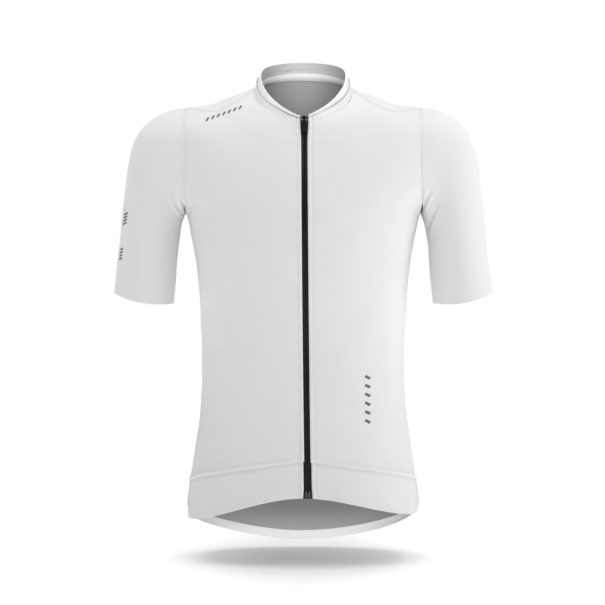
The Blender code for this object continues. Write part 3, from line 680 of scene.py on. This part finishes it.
# ==== Pocket panel ====
# Three open pockets in one panel of the same knit, sewn on the lower back at its foot and
# sides.  Two lines of stitching divide it, and its top edge is turned and stands off a little.

POCKET_INSET = 24.0
POCKET_OUT = 1.9
POCKET_GAPE = 2.4
POCKET_DIVISIONS = (0.335, 0.665)
DIVISION_HALF_WIDTH = 1.7
DIVISION_DEPTH = 1.1


def pocket_side(level, sign):
    """The angle of the pocket panel's side edge, set in from the side seam."""
    edge = float(outer_edge(level))
    inset = POCKET_INSET / float(ring_at(level)["side_x"])
    return edge + inset if sign > 0 else 2 * pi - edge - inset


grid = panel_grid(
    fine_levels(GRIPPER_TOP, POCKET_TOP, step=3.0),
    lambda level: pocket_side(level, 1),
    lambda level: pocket_side(level, -1),
)
across = lengths_along(grid, 1)
share = across / across[:, -1:]
rise = lengths_along(grid, 0)
rise = rise / rise[-1:]
pocket_shape = np.full(share.shape, POCKET_OUT)
pocket_edges = (0.0, *POCKET_DIVISIONS, 1.0)
for low, high in zip(pocket_edges[:-1], pocket_edges[1:]):
    inside = np.clip((share - low) / (high - low), 0, 1)
    pocket_shape += POCKET_GAPE * np.sin(pi * inside) ** 2 * rise ** 5
for division in POCKET_DIVISIONS:
    off = (share - division) * across[:, -1:]
    pocket_shape -= DIVISION_DEPTH * np.exp(-(off / DIVISION_HALF_WIDTH) ** 2)
pocket = Cloth(
    grid, {"start": "tucked", "end": "tucked", "bottom": "tucked", "top": "turned"},
    outer=pocket_shape,
)
pocket.sewn(
    "pockets", (front_knit, inside_knit_painted_shade), "pocket_panel",
    flat=(0.370, 0.185), area=0.0640, rests_on=["back"],
)

# ==== Sleeves ====
# Each sleeve is one piece of knit, closed by a seam under the arm and set into the armhole.
# The cuff is cut clean and bonded, with no hem.

SLEEVE_COLUMNS = ("outer_x", "outer_z", "inner_x", "inner_z", "front_y", "back_y")
SLEEVE_RINGS = (
    (170.0, -32.0, 171.0, -183.0, -66.0, 70.0),
    (192.0, -35.0, 172.5, -187.0, -64.5, 69.0),
    (216.0, -46.0, 174.2, -192.5, -62.5, 67.5),
    (237.0, -66.0, 176.5, -200.0, -60.5, 65.5),
    (250.0, -97.0, 178.7, -212.0, -58.5, 63.0),
    (257.5, -142.0, 181.0, -228.0, -56.5, 60.5),
    (264.0, -205.0, 183.0, -252.0, -54.5, 58.0),
    (269.0, -255.0, 185.2, -281.0, -53.0, 56.5),
    (274.5, -299.0, 187.8, -315.0, -52.0, 55.0),
)
CUFF = 8
SLEEVE_SETTLES = 4
CUFF_FRONT_DROP = 7.0


def armhole_point(turn):
    """The armhole seam at a turn: 0 at its top, a quarter in front, a half at the armpit."""
    turn = np.asarray(turn, float) % 1.0
    in_front = turn <= 0.5
    part = np.where(in_front, turn * 2, 2 - turn * 2)
    level = ARMPIT + (SHOULDER - ARMPIT) * (1 + np.cos(pi * part)) / 2
    return body_point(armhole_angle(level, in_front), level)


def sleeve_oval(turn, reach):
    """A sleeve's own oval rings at a reach, which counts its rings outwards."""
    row = smooth_rows(SLEEVE_RINGS, reach)
    ring = {name: row[..., index] for index, name in enumerate(SLEEVE_COLUMNS)}
    lengthwise, sideways = np.cos(turn * 2 * pi), np.sin(turn * 2 * pi)
    x = (ring["outer_x"] + ring["inner_x"]) / 2 + (ring["outer_x"] - ring["inner_x"]) / 2 * lengthwise
    z = (ring["outer_z"] + ring["inner_z"]) / 2 + (ring["outer_z"] - ring["inner_z"]) / 2 * lengthwise
    y = np.where(sideways > 0, ring["front_y"], ring["back_y"]) * np.abs(sideways)
    dropped = CUFF_FRONT_DROP * np.maximum(0.0, sideways) ** 2 * (reach / CUFF) ** 3
    return np.stack((x, y, z - dropped), axis=-1)


def sleeve_point(turn, reach):
    """The left sleeve's outer face: the armhole's own curve, easing into the ovals."""
    turn, reach = np.broadcast_arrays(np.asarray(turn, float), np.asarray(reach, float))
    settle = np.cos(pi / 2 * np.minimum(reach / SLEEVE_SETTLES, 1.0)) ** 2
    difference = armhole_point(turn) - sleeve_oval(turn, np.zeros_like(reach))
    return sleeve_oval(turn, reach) + difference * settle[..., None]

# Reaches down a sleeve, finer at its ends, evened between its outer and front lines
dense_reaches = np.linspace(0, CUFF, 300)
down_outer, down_front = (
    lengths_along(sleeve_point(np.full(300, turn), dense_reaches)[None], 1)[0] for turn in (0.0, 0.25)
)
down = (down_outer + down_front) / 2
reaches = np.interp(spaced(down[-1], down[-1], CLOTH_STEP, (True, True)), down, dense_reaches)
sleeves = {}
for side, word in SIDES:
    grid = panel_grid(reaches, lambda reach: 0.5, lambda reach: 1.5, surface=sleeve_point)
    grid = grid * np.array((side, 1, 1))
    sleeves[word] = Cloth(
        grid, {"start": "seam", "end": "seam", "bottom": "seam", "top": "free"},
        middles=grid.mean(axis=1, keepdims=True),
    )
    sleeves[word].sewn(
        "sleeve_" + word + "_knit", (front_knit, inside_knit_painted_shade), "sleeve_" + word,
        flat=(0.420, 0.290), area=0.0745, rests_on=["front_" + word, "back"],
    )

# ==== Collar ====
# A low stand collar of doubled knit, folded over at the rim and open at the zip.  A tape
# covers its seam inside the back of the neck.

grid = panel_grid(
    fine_levels(NECK, RIM, step=2.0),
    lambda level: zip_edge(level, 1),
    lambda level: 2 * pi + zip_edge(level, -1),
    step=2.4,
)
collar = Cloth(
    grid, {"start": "turned", "end": "turned", "bottom": "neck", "top": "folded"}, thickness=DOUBLED_KNIT,
)
# The collar's inner face is a grey copy of the knit: painted shade inside the neck.
collar.sewn(
    "stand_collar", (front_knit, knit("collar_knit_inside_painted_shade", (0.50, 0.50, 0.505))), "collar",
    flat=(0.430, 0.027), rests_on=["front_left", "front_right", "back"],
)

# The tape reaches this far below and above the seam, on the slopes of the back and the collar
NECK_TAPE_HALF = 5.0
NECK_TAPE_DEPTH = -1.9
BELOW_SEAM_RISE = np.hypot(17.0, 10.5)
ABOVE_SEAM_RISE = np.hypot(21.0, 2.0)
grid = panel_grid(
    np.linspace(NECK - NECK_TAPE_HALF / BELOW_SEAM_RISE, NECK + NECK_TAPE_HALF / ABOVE_SEAM_RISE, 13),
    lambda level: outer_edge(min(level, NECK)),
    lambda level: 2 * pi - outer_edge(min(level, NECK)),
    step=2.5, fine=(False, False),
)
Cloth(grid, {}, outer=NECK_TAPE_DEPTH, thickness=THIN_TAPE).sewn(
    "neck_seam_tape", (elastic("white_neck_twill", (0.74, 0.74, 0.74), rib=0.0009),), "neck_tape",
    slot="elastic", flat=(0.210, 0.0115), rests_on=["stand_collar"],
)

# ==== Zip tapes and coil ====
# A fine reversed coil zip, its full length up the front: two woven tapes with a smooth film
# over their inner edges, sewn behind the fronts' turned edges, and the coil on their inner side.

# Places across a tape from the zip's middle, and the height of its outer face there
TAPE_SECTION = (
    (0.05, -1.9), (0.5, -1.6), (1.0, -1.3), (1.6, -1.05), (2.3, -0.85), (3.0, -0.75), (3.7, -0.85),
    (4.3, -1.15), (5.0, -1.55), (6.5, -1.8), (9.5, -1.85), (13.8, -1.85),
)
TAPE_LEVELS_BESIDE_COLLAR = (25.25, 25.5, 25.75, RIM)
TAPE_THICKNESS = 0.7

satin_black = {"Base Color": (0.007, 0.007, 0.008, 1), "Roughness": 0.36, "Specular IOR Level": 0.22}
film = ribbed(
    "black_zip_film", satin_black, 0.0011, across="Y", waver=(0.6, 2.0), strength=0.45, depth=0.00015,
)
tape_levels = np.append(fine_levels(HEM, NECK, fine=(False, False)), TAPE_LEVELS_BESIDE_COLLAR)
places, heights = np.array(TAPE_SECTION).T
for side, word in SIDES:
    rows = []
    for level in tape_levels:
        centre = zip_centre(ring_at(level)["front_z"])
        rows.append(body_point(angle_at_x(centre + side * places, np.full(len(places), level)), level))
    Cloth(np.array(rows), {}, outer=heights[None, :], thickness=TAPE_THICKNESS).sewn(
        "zip_tape_" + word + "_woven", (film,), "zip_tape_" + word, slot="zip_tape",
        flat=(0.014, 0.557), rests_on=["front_" + word],
    )


def bead_row(name, follows_line):
    """A tree that strings small rounded beads along lines: stitches, or a coil's turns."""
    tree = bpy.data.node_groups.new(name, "GeometryNodeTree")
    kinds = {"Lines": "Geometry", "Finish": "Material", "Pitch": "Float"}
    kinds.update({"Bead " + size: "Float" for size in ("length", "width", "height")})
    for label, kind in kinds.items():
        tree.interface.new_socket(label, in_out="INPUT", socket_type="NodeSocket" + kind)
    tree.interface.new_socket("Beads", in_out="OUTPUT", socket_type="NodeSocketGeometry")
    given = tree.nodes.new("NodeGroupInput").outputs

    def step(kind, sockets=(), **settings):
        return add_node(tree, kind, sockets, **settings).outputs[0]

    curve = step("GeometryNodeMeshToCurve", {"Mesh": given["Lines"]})
    points = step("GeometryNodeResampleCurve", {"Curve": curve, "Length": given["Pitch"]}, mode="LENGTH")
    ball = step("GeometryNodeMeshUVSphere", {"Segments": 6, "Rings": 4, "Radius": 0.5})
    sizes = {axis: given["Bead " + size] for axis, size in zip("XYZ", ("length", "width", "height"))}
    bead = step("GeometryNodeTransform", {"Geometry": ball, "Scale": step("ShaderNodeCombineXYZ", sizes)})
    lie = step("GeometryNodeInputTangent") if follows_line else (1, 0, 0)
    turned = step("FunctionNodeAlignRotationToVector", {"Vector": lie}, axis="X")
    strung = {"Points": points, "Instance": bead, "Rotation": turned}
    real = step("GeometryNodeRealizeInstances", {"Geometry": step("GeometryNodeInstanceOnPoints", strung)})
    finished = step("GeometryNodeSetMaterial", {"Geometry": real, "Material": given["Finish"]})
    add_node(tree, "NodeGroupOutput", {"Beads": finished})
    return tree


def strung_beads(name, lines, tree, finish, **sizes):
    """One plain mesh of beads along lines of points in millimetres; sizes are in metres."""
    mesh = bpy.data.meshes.new(name + "_lines")
    points, edges = [], []
    for line in lines:
        edges += [(len(points) + index, len(points) + index + 1) for index in range(len(line) - 1)]
        points += [Vector(point) * MM for point in line]
    mesh.from_pydata(points, edges, [])
    row = placed(name + "_row", mesh)
    modifier = row.modifiers.new("beads", "NODES")
    modifier.node_group = tree
    sockets = {item.name: item.identifier for item in tree.interface.items_tree if item.in_out == "INPUT"}
    for label, value in sizes.items():
        modifier[sockets[label.replace("_", " ").capitalize()]] = value
    modifier[sockets["Finish"]] = finish
    row.update_tag()
    bpy.context.view_layer.update()
    made = bpy.data.meshes.new_from_object(row.evaluated_get(bpy.context.evaluated_depsgraph_get()))
    made.name = name
    bpy.data.objects.remove(row)
    made.materials.clear()
    made.materials.append(finish)
    made.shade_smooth()
    return placed(name, made)


def grained(name, colour, grain, shades=None, roughness=0.6, gloss=0.4, metallic=0.0, bump=None):
    """Thread, print, paint, metal or plastic with a fine grain.

    The grain shades the colour between two parts of it, or else varies the roughness.
    """
    material, tree, shader = new_finish(name, {
        "Base Color": (*colour, 1), "Roughness": roughness, "Metallic": metallic,
        "Specular IOR Level": gloss,
    })
    noise = {"Scale": grain, "Vector": add_node(tree, "ShaderNodeTexCoord").outputs["Object"]}
    if not shades:
        noise["Detail"] = 3.0
    uneven = add_node(tree, "ShaderNodeTexNoise", noise).outputs["Fac"]
    if shades:
        dark, light = ((*[part * share for part in colour], 1) for share in shades)
        mixed = {"A": dark, "B": light, "Factor": uneven}
        shade = add_node(tree, "ShaderNodeMix", mixed, data_type="RGBA")
        tree.links.new(shade.outputs["Result"], shader.inputs["Base Color"])
    else:
        worn = {"To Min": roughness * 0.85, "To Max": roughness * 1.2, "Value": uneven}
        spread = add_node(tree, "ShaderNodeMapRange", worn)
        tree.links.new(spread.outputs["Result"], shader.inputs["Roughness"])
    if bump:
        raised(tree, shader, uneven, *bump)
    return material


COIL_PITCH = 0.00125
COIL_WIDTH = 0.0042
COIL_TURN = 0.0009
COIL_DEPTH = -2.9
THREAD_TWIST = 2600
TWIST_SHADES = (0.88, 1.0)
TWIST_BUMP = (0.3, 0.00005)
black_coil = grained(
    "black_coil", (0.02, 0.02, 0.021), THREAD_TWIST, TWIST_SHADES, roughness=0.4, bump=TWIST_BUMP,
)
coil_line = []
for level in tape_levels[2:-3]:
    centre = float(zip_centre(ring_at(level)["front_z"]))
    spot = body_point(angle_at_x(centre, level), level)
    coil_line.append(spot - np.array((0.0, COIL_DEPTH, 0.0)))
coil = strung_beads(
    "zip_coil", [coil_line], bead_row("coil turns", follows_line=False), black_coil,
    pitch=COIL_PITCH, bead_length=COIL_WIDTH, bead_width=COIL_TURN, bead_height=COIL_TURN,
)
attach(coil, "jersey")

# ==== Seams and topstitching ====
# White polyester thread: a line of lockstitch along each turned edge, and two needle lines of
# flat seam beside the armholes, sides, shoulders, neck, bands and pockets.

STITCH_PITCH = 0.0030
STITCH_LENGTH = 0.0024
THREAD_WIDTH = 0.00042
THREAD_HEIGHT = 0.00022

# How far the needle lines are from the edges, in millimetres
FLAT_SEAM = (1.9, 3.9)
UNDERARM_SEAM = (1.9,)
BACK_SEAM = (2.2,)
NECK_SEAM = (2.2,)
ZIP_TURNING = (5.9,)
COLLAR_TURNING = (5.6,)
RAISED_SEAM = (6.2,)
BAND_TURNING = (13.2,)
ELASTIC_SEAM = (2.4,)
POCKET_SEAM = (2.0,)
POCKET_TURNING = (7.5,)

white_thread = grained("white_thread", (0.83, 0.83, 0.835), THREAD_TWIST, TWIST_SHADES, bump=TWIST_BUMP)
stitch_tree = bead_row("stitches", follows_line=True)
seams = {"front_stitches": [], "back_stitches": [], "sleeve_stitches": [], "neck_stitches": []}


def stitch(group, cut, **edges):
    """Adds needle lines to a group: beside each named edge of a cut, at the given distances."""
    for edge, distances in edges.items():
        seams[group] += [cut.line_beside(edge, distance) for distance in distances]


for side, word in SIDES:
    stitch("front_stitches", fronts[word], start=ZIP_TURNING, end=FLAT_SEAM, bottom=RAISED_SEAM)
    stitch("front_stitches", bands[word], start=ZIP_TURNING, end=FLAT_SEAM, bottom=BAND_TURNING)
    stitch("sleeve_stitches", sleeves[word], bottom=FLAT_SEAM, start=UNDERARM_SEAM, end=UNDERARM_SEAM)
    stitch("neck_stitches", fronts[word], top=NECK_SEAM)
stitch("neck_stitches", collar, start=COLLAR_TURNING, end=COLLAR_TURNING)
stitch("neck_stitches", back, top=NECK_SEAM)
stitch("back_stitches", back, start=BACK_SEAM, end=BACK_SEAM)
stitch("back_stitches", back_band, top=ELASTIC_SEAM)
stitch("back_stitches", pocket, start=POCKET_SEAM, end=POCKET_SEAM, top=POCKET_TURNING)
for division in POCKET_DIVISIONS:
    column = int(np.argmin(np.abs(share[0] - division)))
    on_cloth = pocket.outside[:, column] + pocket.normals[:, column] * THREAD_LIFT
    seams["back_stitches"].append(on_cloth)
for name, lines in seams.items():
    piece = strung_beads(
        name, lines, stitch_tree, white_thread,
        pitch=STITCH_PITCH, bead_length=STITCH_LENGTH, bead_width=THREAD_WIDTH, bead_height=THREAD_HEIGHT,
    )
    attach(piece, "jersey")

# ==== Slider ====
# A small die-cast slider with a black baked finish, at the top of the closed zip.  Two black
# lugs and a bare steel pin across them carry the pull, beside two bare rivet heads.

SLIDER_LEVEL = 25.4
# Rows of each form: height, or for a lying one the place across, half width and half depth
SLIDER_ROWS = (
    (-5.5, 2.6, 0.45), (-5.2, 3.5, 0.7), (-4.2, 4.1, 0.8), (-2.0, 4.3, 0.85), (0.0, 4.5, 0.9),
    (2.2, 5.0, 0.9), (4.2, 5.1, 0.85), (5.1, 4.6, 0.7), (5.5, 3.6, 0.4),
)
LUG_ROWS = (
    (1.9, 0.35, 1.0), (2.2, 0.5, 1.45), (3.0, 0.5, 1.7), (3.8, 0.5, 1.7), (4.6, 0.5, 1.45),
    (4.9, 0.35, 1.0),
)
LUG_SPREAD = 3.0
RIVET_ROWS = (
    (-1.35, 0.35, 0.35), (-1.1, 0.8, 0.6), (-0.5, 1.05, 0.75), (0.5, 1.05, 0.75), (1.1, 0.8, 0.6),
    (1.35, 0.35, 0.35),
)
PIN_ROWS = ((-3.7, 0.45, 0.45), (-3.5, 0.6, 0.6), (3.5, 0.6, 0.6), (3.7, 0.45, 0.45))
PIVOT = np.array((0.0, -2.9, 3.4))


def zip_frame(level):
    """The zip's place at a level, and the turn that stands things upright on its surface."""
    centre = zip_centre(ring_at(level)["front_z"])
    place = body_point(angle_at_x(centre, level), level)
    ends = np.clip((level - 0.02, level + 0.02), HEM, RIM)
    low, high = body_point(angle_at_x(centre, ends), ends)
    lean = np.arctan2(high[1] - low[1], high[2] - low[2])
    return Matrix.Translation(Vector(place)) @ Matrix.Rotation(-lean, 4, "X")


def moulded(name, rows, frame_there, material, middle=(0, 0, 0), squareness=3.2, sides=32, lying=False):
    """A closed rounded form from rows of height, half width and half depth, in a local frame.

    A lying one runs across, with its rows' heights measured sideways.
    """
    turns = np.linspace(0, 2 * pi, sides, endpoint=False)
    across, along = np.cos(turns), np.sin(turns)
    reach = (np.abs(across) ** squareness + np.abs(along) ** squareness) ** (-1 / squareness)
    form = bmesh.new()
    loops = []
    for height, half_width, half_depth in rows:
        loop = []
        for x, y in zip(across * reach * half_width, along * reach * half_depth):
            local = (height, y, x) if lying else (x, y, height)
            loop.append(form.verts.new(frame_there @ (Vector(local) + Vector(middle)) * MM))
        loops.append(loop)
    for low, high in zip(loops[:-1], loops[1:]):
        for index in range(sides):
            after = (index + 1) % sides
            form.faces.new((low[index], low[after], high[after], high[index]))
    for loop in (loops[0], loops[-1]):
        hub = form.verts.new(sum((corner.co for corner in loop), Vector()) / sides)
        for index in range(sides):
            form.faces.new((loop[index], loop[(index + 1) % sides], hub))
    bmesh.ops.recalc_face_normals(form, faces=form.faces)
    return made_from(form, name, material)


def made_from(form, name, material):
    """A smooth piece from a finished form."""
    mesh = bpy.data.meshes.new(name)
    form.to_mesh(mesh)
    form.free()
    mesh.materials.append(material)
    mesh.shade_smooth()
    return placed(name, mesh)


def joined(name, parts):
    """Several plain pieces of one material as one piece."""
    form = bmesh.new()
    for part in parts:
        form.from_mesh(part.data)
    material = parts[0].data.materials[0]
    for part in parts:
        bpy.data.objects.remove(part)
    return made_from(form, name, material)


def worn_solid(name, colour, roughness, metallic=0.0, grain=900.0, gloss=0.5):
    """Painted metal, bare metal or moulded plastic."""
    return grained(
        name, colour, grain, roughness=roughness, gloss=gloss, metallic=metallic, bump=(0.2, 0.00004),
    )


black_paint = worn_solid("baked_black_slider", (0.014, 0.014, 0.015), 0.42, gloss=0.3)
bare_metal = worn_solid("bare_slider_metal", (0.70, 0.70, 0.71), 0.38, metallic=0.7)
throat = zip_frame(SLIDER_LEVEL)
body = moulded("zip_slider_body", SLIDER_ROWS, throat, black_paint, middle=(0, -0.05, 0))
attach(body, "jersey")
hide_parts("zip_slider")
lugs, bare_parts = [], []
for spread in (-LUG_SPREAD, LUG_SPREAD):
    lugs.append(moulded(
        "lug", LUG_ROWS, throat, black_paint, middle=(spread, -2.1, 0), squareness=2.6, sides=20,
    ))
    bare_parts.append(moulded(
        "rivet", RIVET_ROWS, throat, bare_metal, middle=(spread, -0.9, -0.9), squareness=2.0, sides=20,
    ))
bare_parts.append(moulded(
    "pin", PIN_ROWS, throat, bare_metal, middle=PIVOT, squareness=2.0, sides=20, lying=True,
))
for name, parts in (("zip_slider_lugs", lugs), ("zip_slider_rivets_and_pin", bare_parts)):
    piece = joined(name, parts)
    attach(piece, "jersey")

# ==== Pull tab ====
# A soft black moulded tab, hung on the slider's pin by the eye at its top, with low grip ridges
# across its blade.  It swings on the pin.

# Below the pin: half width and half thickness
PULL_ROWS = (
    (-26.0, 1.9, 0.45), (-25.7, 2.8, 0.7), (-24.9, 3.7, 0.85), (-23.6, 4.0, 0.9), (-20.0, 4.15, 0.95),
    (-14.0, 4.45, 1.0), (-10.5, 4.65, 1.0), (-8.0, 4.65, 1.0), (-6.9, 4.2, 1.0), (-6.0, 3.2, 1.0),
    (-5.2, 2.3, 1.0), (-4.2, 2.15, 1.0), (-1.2, 2.15, 1.1), (0.0, 2.15, 1.2),
)
GRIP_RIDGES = (-22.0, -19.6, -17.2, -14.8, -12.4)
GRIP_HEIGHT = 0.38
GRIP_HALF_WIDTH = 0.55
GRIP_SUNK = 0.15
EYE_ROWS = ((-2.2, 1.5, 1.5), (-2.0, 1.7, 1.7), (2.0, 1.7, 1.7), (2.2, 1.5, 1.5))

black_rubber = worn_solid("black_pull_moulding", (0.006, 0.006, 0.0065), 0.6, grain=1400.0, gloss=0.12)
pivot_frame = throat @ Matrix.Translation(Vector(PIVOT))
heights = np.concatenate((
    np.linspace(-26.0, -24.8, 5), np.linspace(-24.5, -11.0, 68), np.linspace(-10.6, 0.0, 18),
))
below, half_widths, half_depths = np.array(PULL_ROWS).T
ridges = sum(np.exp(-((heights - place) / GRIP_HALF_WIDTH) ** 2) for place in GRIP_RIDGES)
depths = np.interp(heights, below, half_depths) - GRIP_SUNK + GRIP_HEIGHT * ridges
blade_rows = list(zip(heights, np.interp(heights, below, half_widths), depths))
pull = joined("pull_tab_moulding", [
    moulded("blade", blade_rows, pivot_frame, black_rubber, squareness=4.0, sides=40),
    moulded("eye", EYE_ROWS, pivot_frame, black_rubber, squareness=2.0, sides=28, lying=True),
])
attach(pull, "pull_tab")
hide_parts("zip_pull_tab")

# ==== Zip box ====
# The black moulded box at the zip's foot, and the two steel pins that stand in it when it is
# closed.

BOX_ROWS = (
    (0.8, 3.0, 0.5), (1.1, 4.0, 0.9), (1.9, 4.6, 1.05), (4.0, 4.8, 1.1), (6.3, 4.8, 1.1),
    (7.0, 4.5, 1.0), (7.2, 3.9, 0.7),
)
STEEL_PIN_ROWS = ((3.0, 0.5, 0.3), (3.4, 0.75, 0.5), (9.4, 0.75, 0.5), (10.0, 0.5, 0.3))
foot = zip_frame(float(HEM))
black_plastic = worn_solid("black_box_moulding", (0.022, 0.022, 0.023), 0.4)
steel_pins = worn_solid("zip_pin_metal", (0.16, 0.16, 0.165), 0.42, metallic=0.6)
box = moulded("zip_box_moulding", BOX_ROWS, foot, black_plastic)
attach(box, "jersey")
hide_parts("zip_box")
pins = joined("zip_box_pins", [
    moulded("pin", STEEL_PIN_ROWS, foot, steel_pins, middle=(across, -0.75, 0), squareness=2.2, sides=16)
    for across in (-2.3, 2.3)
])
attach(pins, "jersey")

# ==== Printed dashes ====
# Plain grey dashes in a thin soft print on the knit: a slanted row at the left waist, and small
# ones at the right shoulder and down the right sleeve.

# Each row: its cloth, how many, the first one's x and z, the steps to the next, and a dash's
# length, width and slope in degrees
DASH_ROWS = (
    ("front_left", 6, 90.3, -418.5, 0.0, -12.3, 7.6, 3.6, -28),
    ("front_right", 7, -136.5, -52.5, 7.7, 3.1, 6.6, 2.5, 62),
    ("sleeve_right_knit", 4, -254.0, -186.5, -0.6, -4.6, 7.0, 2.2, 20),
    ("sleeve_right_knit", 4, -260.5, -237.0, -0.5, -4.6, 5.4, 2.2, 20),
)
DASH_LIFT = 0.16
DASH_PRINT = 0.10
IN_FRONT = -300

ink = grained("grey_print", (0.15, 0.15, 0.152), 1500, shades=(0.8, 1.2), gloss=0.3)
marks = []
for cloth_name, count, first_x, first_z, step_x, step_z, length, width, slope in DASH_ROWS:
    cloth = bpy.data.objects[cloth_name]
    turn = radians(slope)
    along, across = np.meshgrid(
        np.linspace(-length / 2, length / 2, 11), np.linspace(-width / 2, width / 2, 6),
    )
    for index in range(count):
        x = first_x + step_x * index + along * np.cos(turn) - across * np.sin(turn)
        z = first_z + step_z * index + along * np.sin(turn) + across * np.cos(turn)
        outside = np.zeros((*x.shape, 3))
        inside = outside.copy()
        for corner in np.ndindex(x.shape):
            start = Vector((x[corner], IN_FRONT, z[corner])) * MM
            _, spot, normal, _ = cloth.ray_cast(start, Vector((0, 1, 0)))
            outside[corner] = spot / MM + normal * DASH_LIFT
            inside[corner] = spot / MM + normal * (DASH_LIFT - DASH_PRINT)
        marks.append(cloth_shell("mark", outside, inside, outside[..., (0, 2)], (ink,)))
dashes = joined("printed_dashes", marks)
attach(dashes, "jersey")

# ==== Floor ====
# A plain pale studio floor a little below the hem.  It is staging and not a part of the jersey.

# Its glow makes it as white as its surroundings far out, and is weaker near the middle: a painted
# shadow there deepens and shapes the jersey's own soft cast shade.  The glow grows outwards in an
# oval: each part of the reach, with the strength there.
FLOOR_HEIGHT = -0.684
FLOOR_HALF = 6.0
GLOW_AND_SHADOW_OVAL = (1.9, 0.7, 1.0)
GLOW_REACH = 3.0
GLOW_AND_PAINTED_SHADOW = ((0.017, 0.21), (0.14, 0.44), (0.30, 0.44), (0.85, 1.0))

floor_paint, tree, shader = new_finish("pale_floor_with_painted_shadow", {
    "Base Color": (0.86, 0.86, 0.86, 1), "Roughness": 0.9, "Specular IOR Level": 0.0,
    "Emission Color": (1, 1, 1, 1),
})
place = add_node(tree, "ShaderNodeTexCoord").outputs["Object"]
oval = add_node(tree, "ShaderNodeVectorMath", {0: place, 1: GLOW_AND_SHADOW_OVAL}, operation="MULTIPLY")
away = add_node(tree, "ShaderNodeVectorMath", {0: oval.outputs["Vector"]}, operation="LENGTH")
reached = {"From Max": GLOW_REACH, "Value": away.outputs["Value"]}
part = add_node(tree, "ShaderNodeMapRange", reached).outputs["Result"]
# The dim oval of this glow in the middle is a painted shadow under the jersey.
glow_and_painted_shadow = add_node(tree, "ShaderNodeValToRGB", {"Fac": part})
glow_and_painted_shadow.color_ramp.interpolation = "EASE"
stops = glow_and_painted_shadow.color_ramp.elements
while len(stops) < len(GLOW_AND_PAINTED_SHADOW):
    stops.new(0.5)
for stop, (reach, strength) in zip(stops, GLOW_AND_PAINTED_SHADOW):
    stop.position = reach
    stop.color = (strength, strength, strength, 1)
tree.links.new(glow_and_painted_shadow.outputs["Color"], shader.inputs["Emission Strength"])
floor_mesh = bpy.data.meshes.new("studio_floor")
corners = [(x * FLOOR_HALF, y * FLOOR_HALF, 0) for x, y in ((-1, -1), (1, -1), (1, 1), (-1, 1))]
floor_mesh.from_pydata(corners, [], [(0, 1, 2, 3)])
floor_mesh.materials.append(floor_paint)
floor = placed("studio_floor", floor_mesh)
floor.location = (0, 0, FLOOR_HEIGHT)

# ==== World and lights ====
# A bright even studio: white surroundings, a wide light overhead and a key from the wearer's
# left.  A low strip lights the inside of the back hem, and a narrow spot the back of the neck.

WORLD_GLOW = 0.245
# Each area light: its place, what it is turned towards, its width and height, power and spread
AREA_LIGHTS = (
    ("overhead_light", (0.0, -0.15, 1.7), (0, 0, -0.33), (2.8, 2.8), 48.0, 180),
    ("left_key_light", (2.3, -0.5, -0.2), (0, 0, -0.33), (1.4, 1.4), 16.5, 180),
    ("hem_light", (0.0, -0.9, -0.655), (0, 0.106, -0.672), (0.40, 0.02), 0.037, 6),
)
NECK_LIGHT_PLACE = (0.0, -1.3, 0.10)
NECK_LIGHT_TARGET = (0, 0.07, 0.018)
NECK_LIGHT_POWER = 60.0
NECK_LIGHT_CONE = 6.6

world = bpy.data.worlds.new("studio")
world.use_nodes = True
tree = world.node_tree
backdrop = tree.nodes["Background"]
backdrop.inputs["Color"].default_value = (1, 1, 1, 1)
seen = add_node(tree, "ShaderNodeLightPath").outputs["Is Camera Ray"]
level = add_node(tree, "ShaderNodeMapRange", {"To Min": WORLD_GLOW, "To Max": 1.0, "Value": seen})
tree.links.new(level.outputs["Result"], backdrop.inputs["Strength"])
bpy.context.scene.world = world


def aimed(lamp, place, target):
    """A light at a place, turned towards a target."""
    light = placed(lamp.name, lamp)
    light.location = place
    light.rotation_euler = (Vector(target) - Vector(place)).to_track_quat("-Z", "Y").to_euler()


for name, place, target, (width, height), power, spread in AREA_LIGHTS:
    lamp = bpy.data.lights.new(name, "AREA")
    lamp.shape = "RECTANGLE"
    lamp.size = width
    lamp.size_y = height
    lamp.energy = power
    lamp.spread = radians(spread)
    aimed(lamp, place, target)
neck_lamp = bpy.data.lights.new("neck_light", "SPOT")
neck_lamp.energy = NECK_LIGHT_POWER
neck_lamp.spot_size = radians(NECK_LIGHT_CONE)
neck_lamp.spot_blend = 1.0
neck_lamp.shadow_soft_size = 0.04
aimed(neck_lamp, NECK_LIGHT_PLACE, NECK_LIGHT_TARGET)
bpy.context.scene.view_settings.view_transform = "Standard"

# ==== Camera ====
# A long lens, level and straight in front of the jersey.

camera_lens = bpy.data.cameras.new("camera")
camera_lens.lens = 100
camera_lens.sensor_width = 36
camera = placed("camera", camera_lens)
camera.location = (-0.001, -2.44, -0.3136)
camera.rotation_euler = (pi / 2, 0, 0)
bpy.context.scene.camera = camera
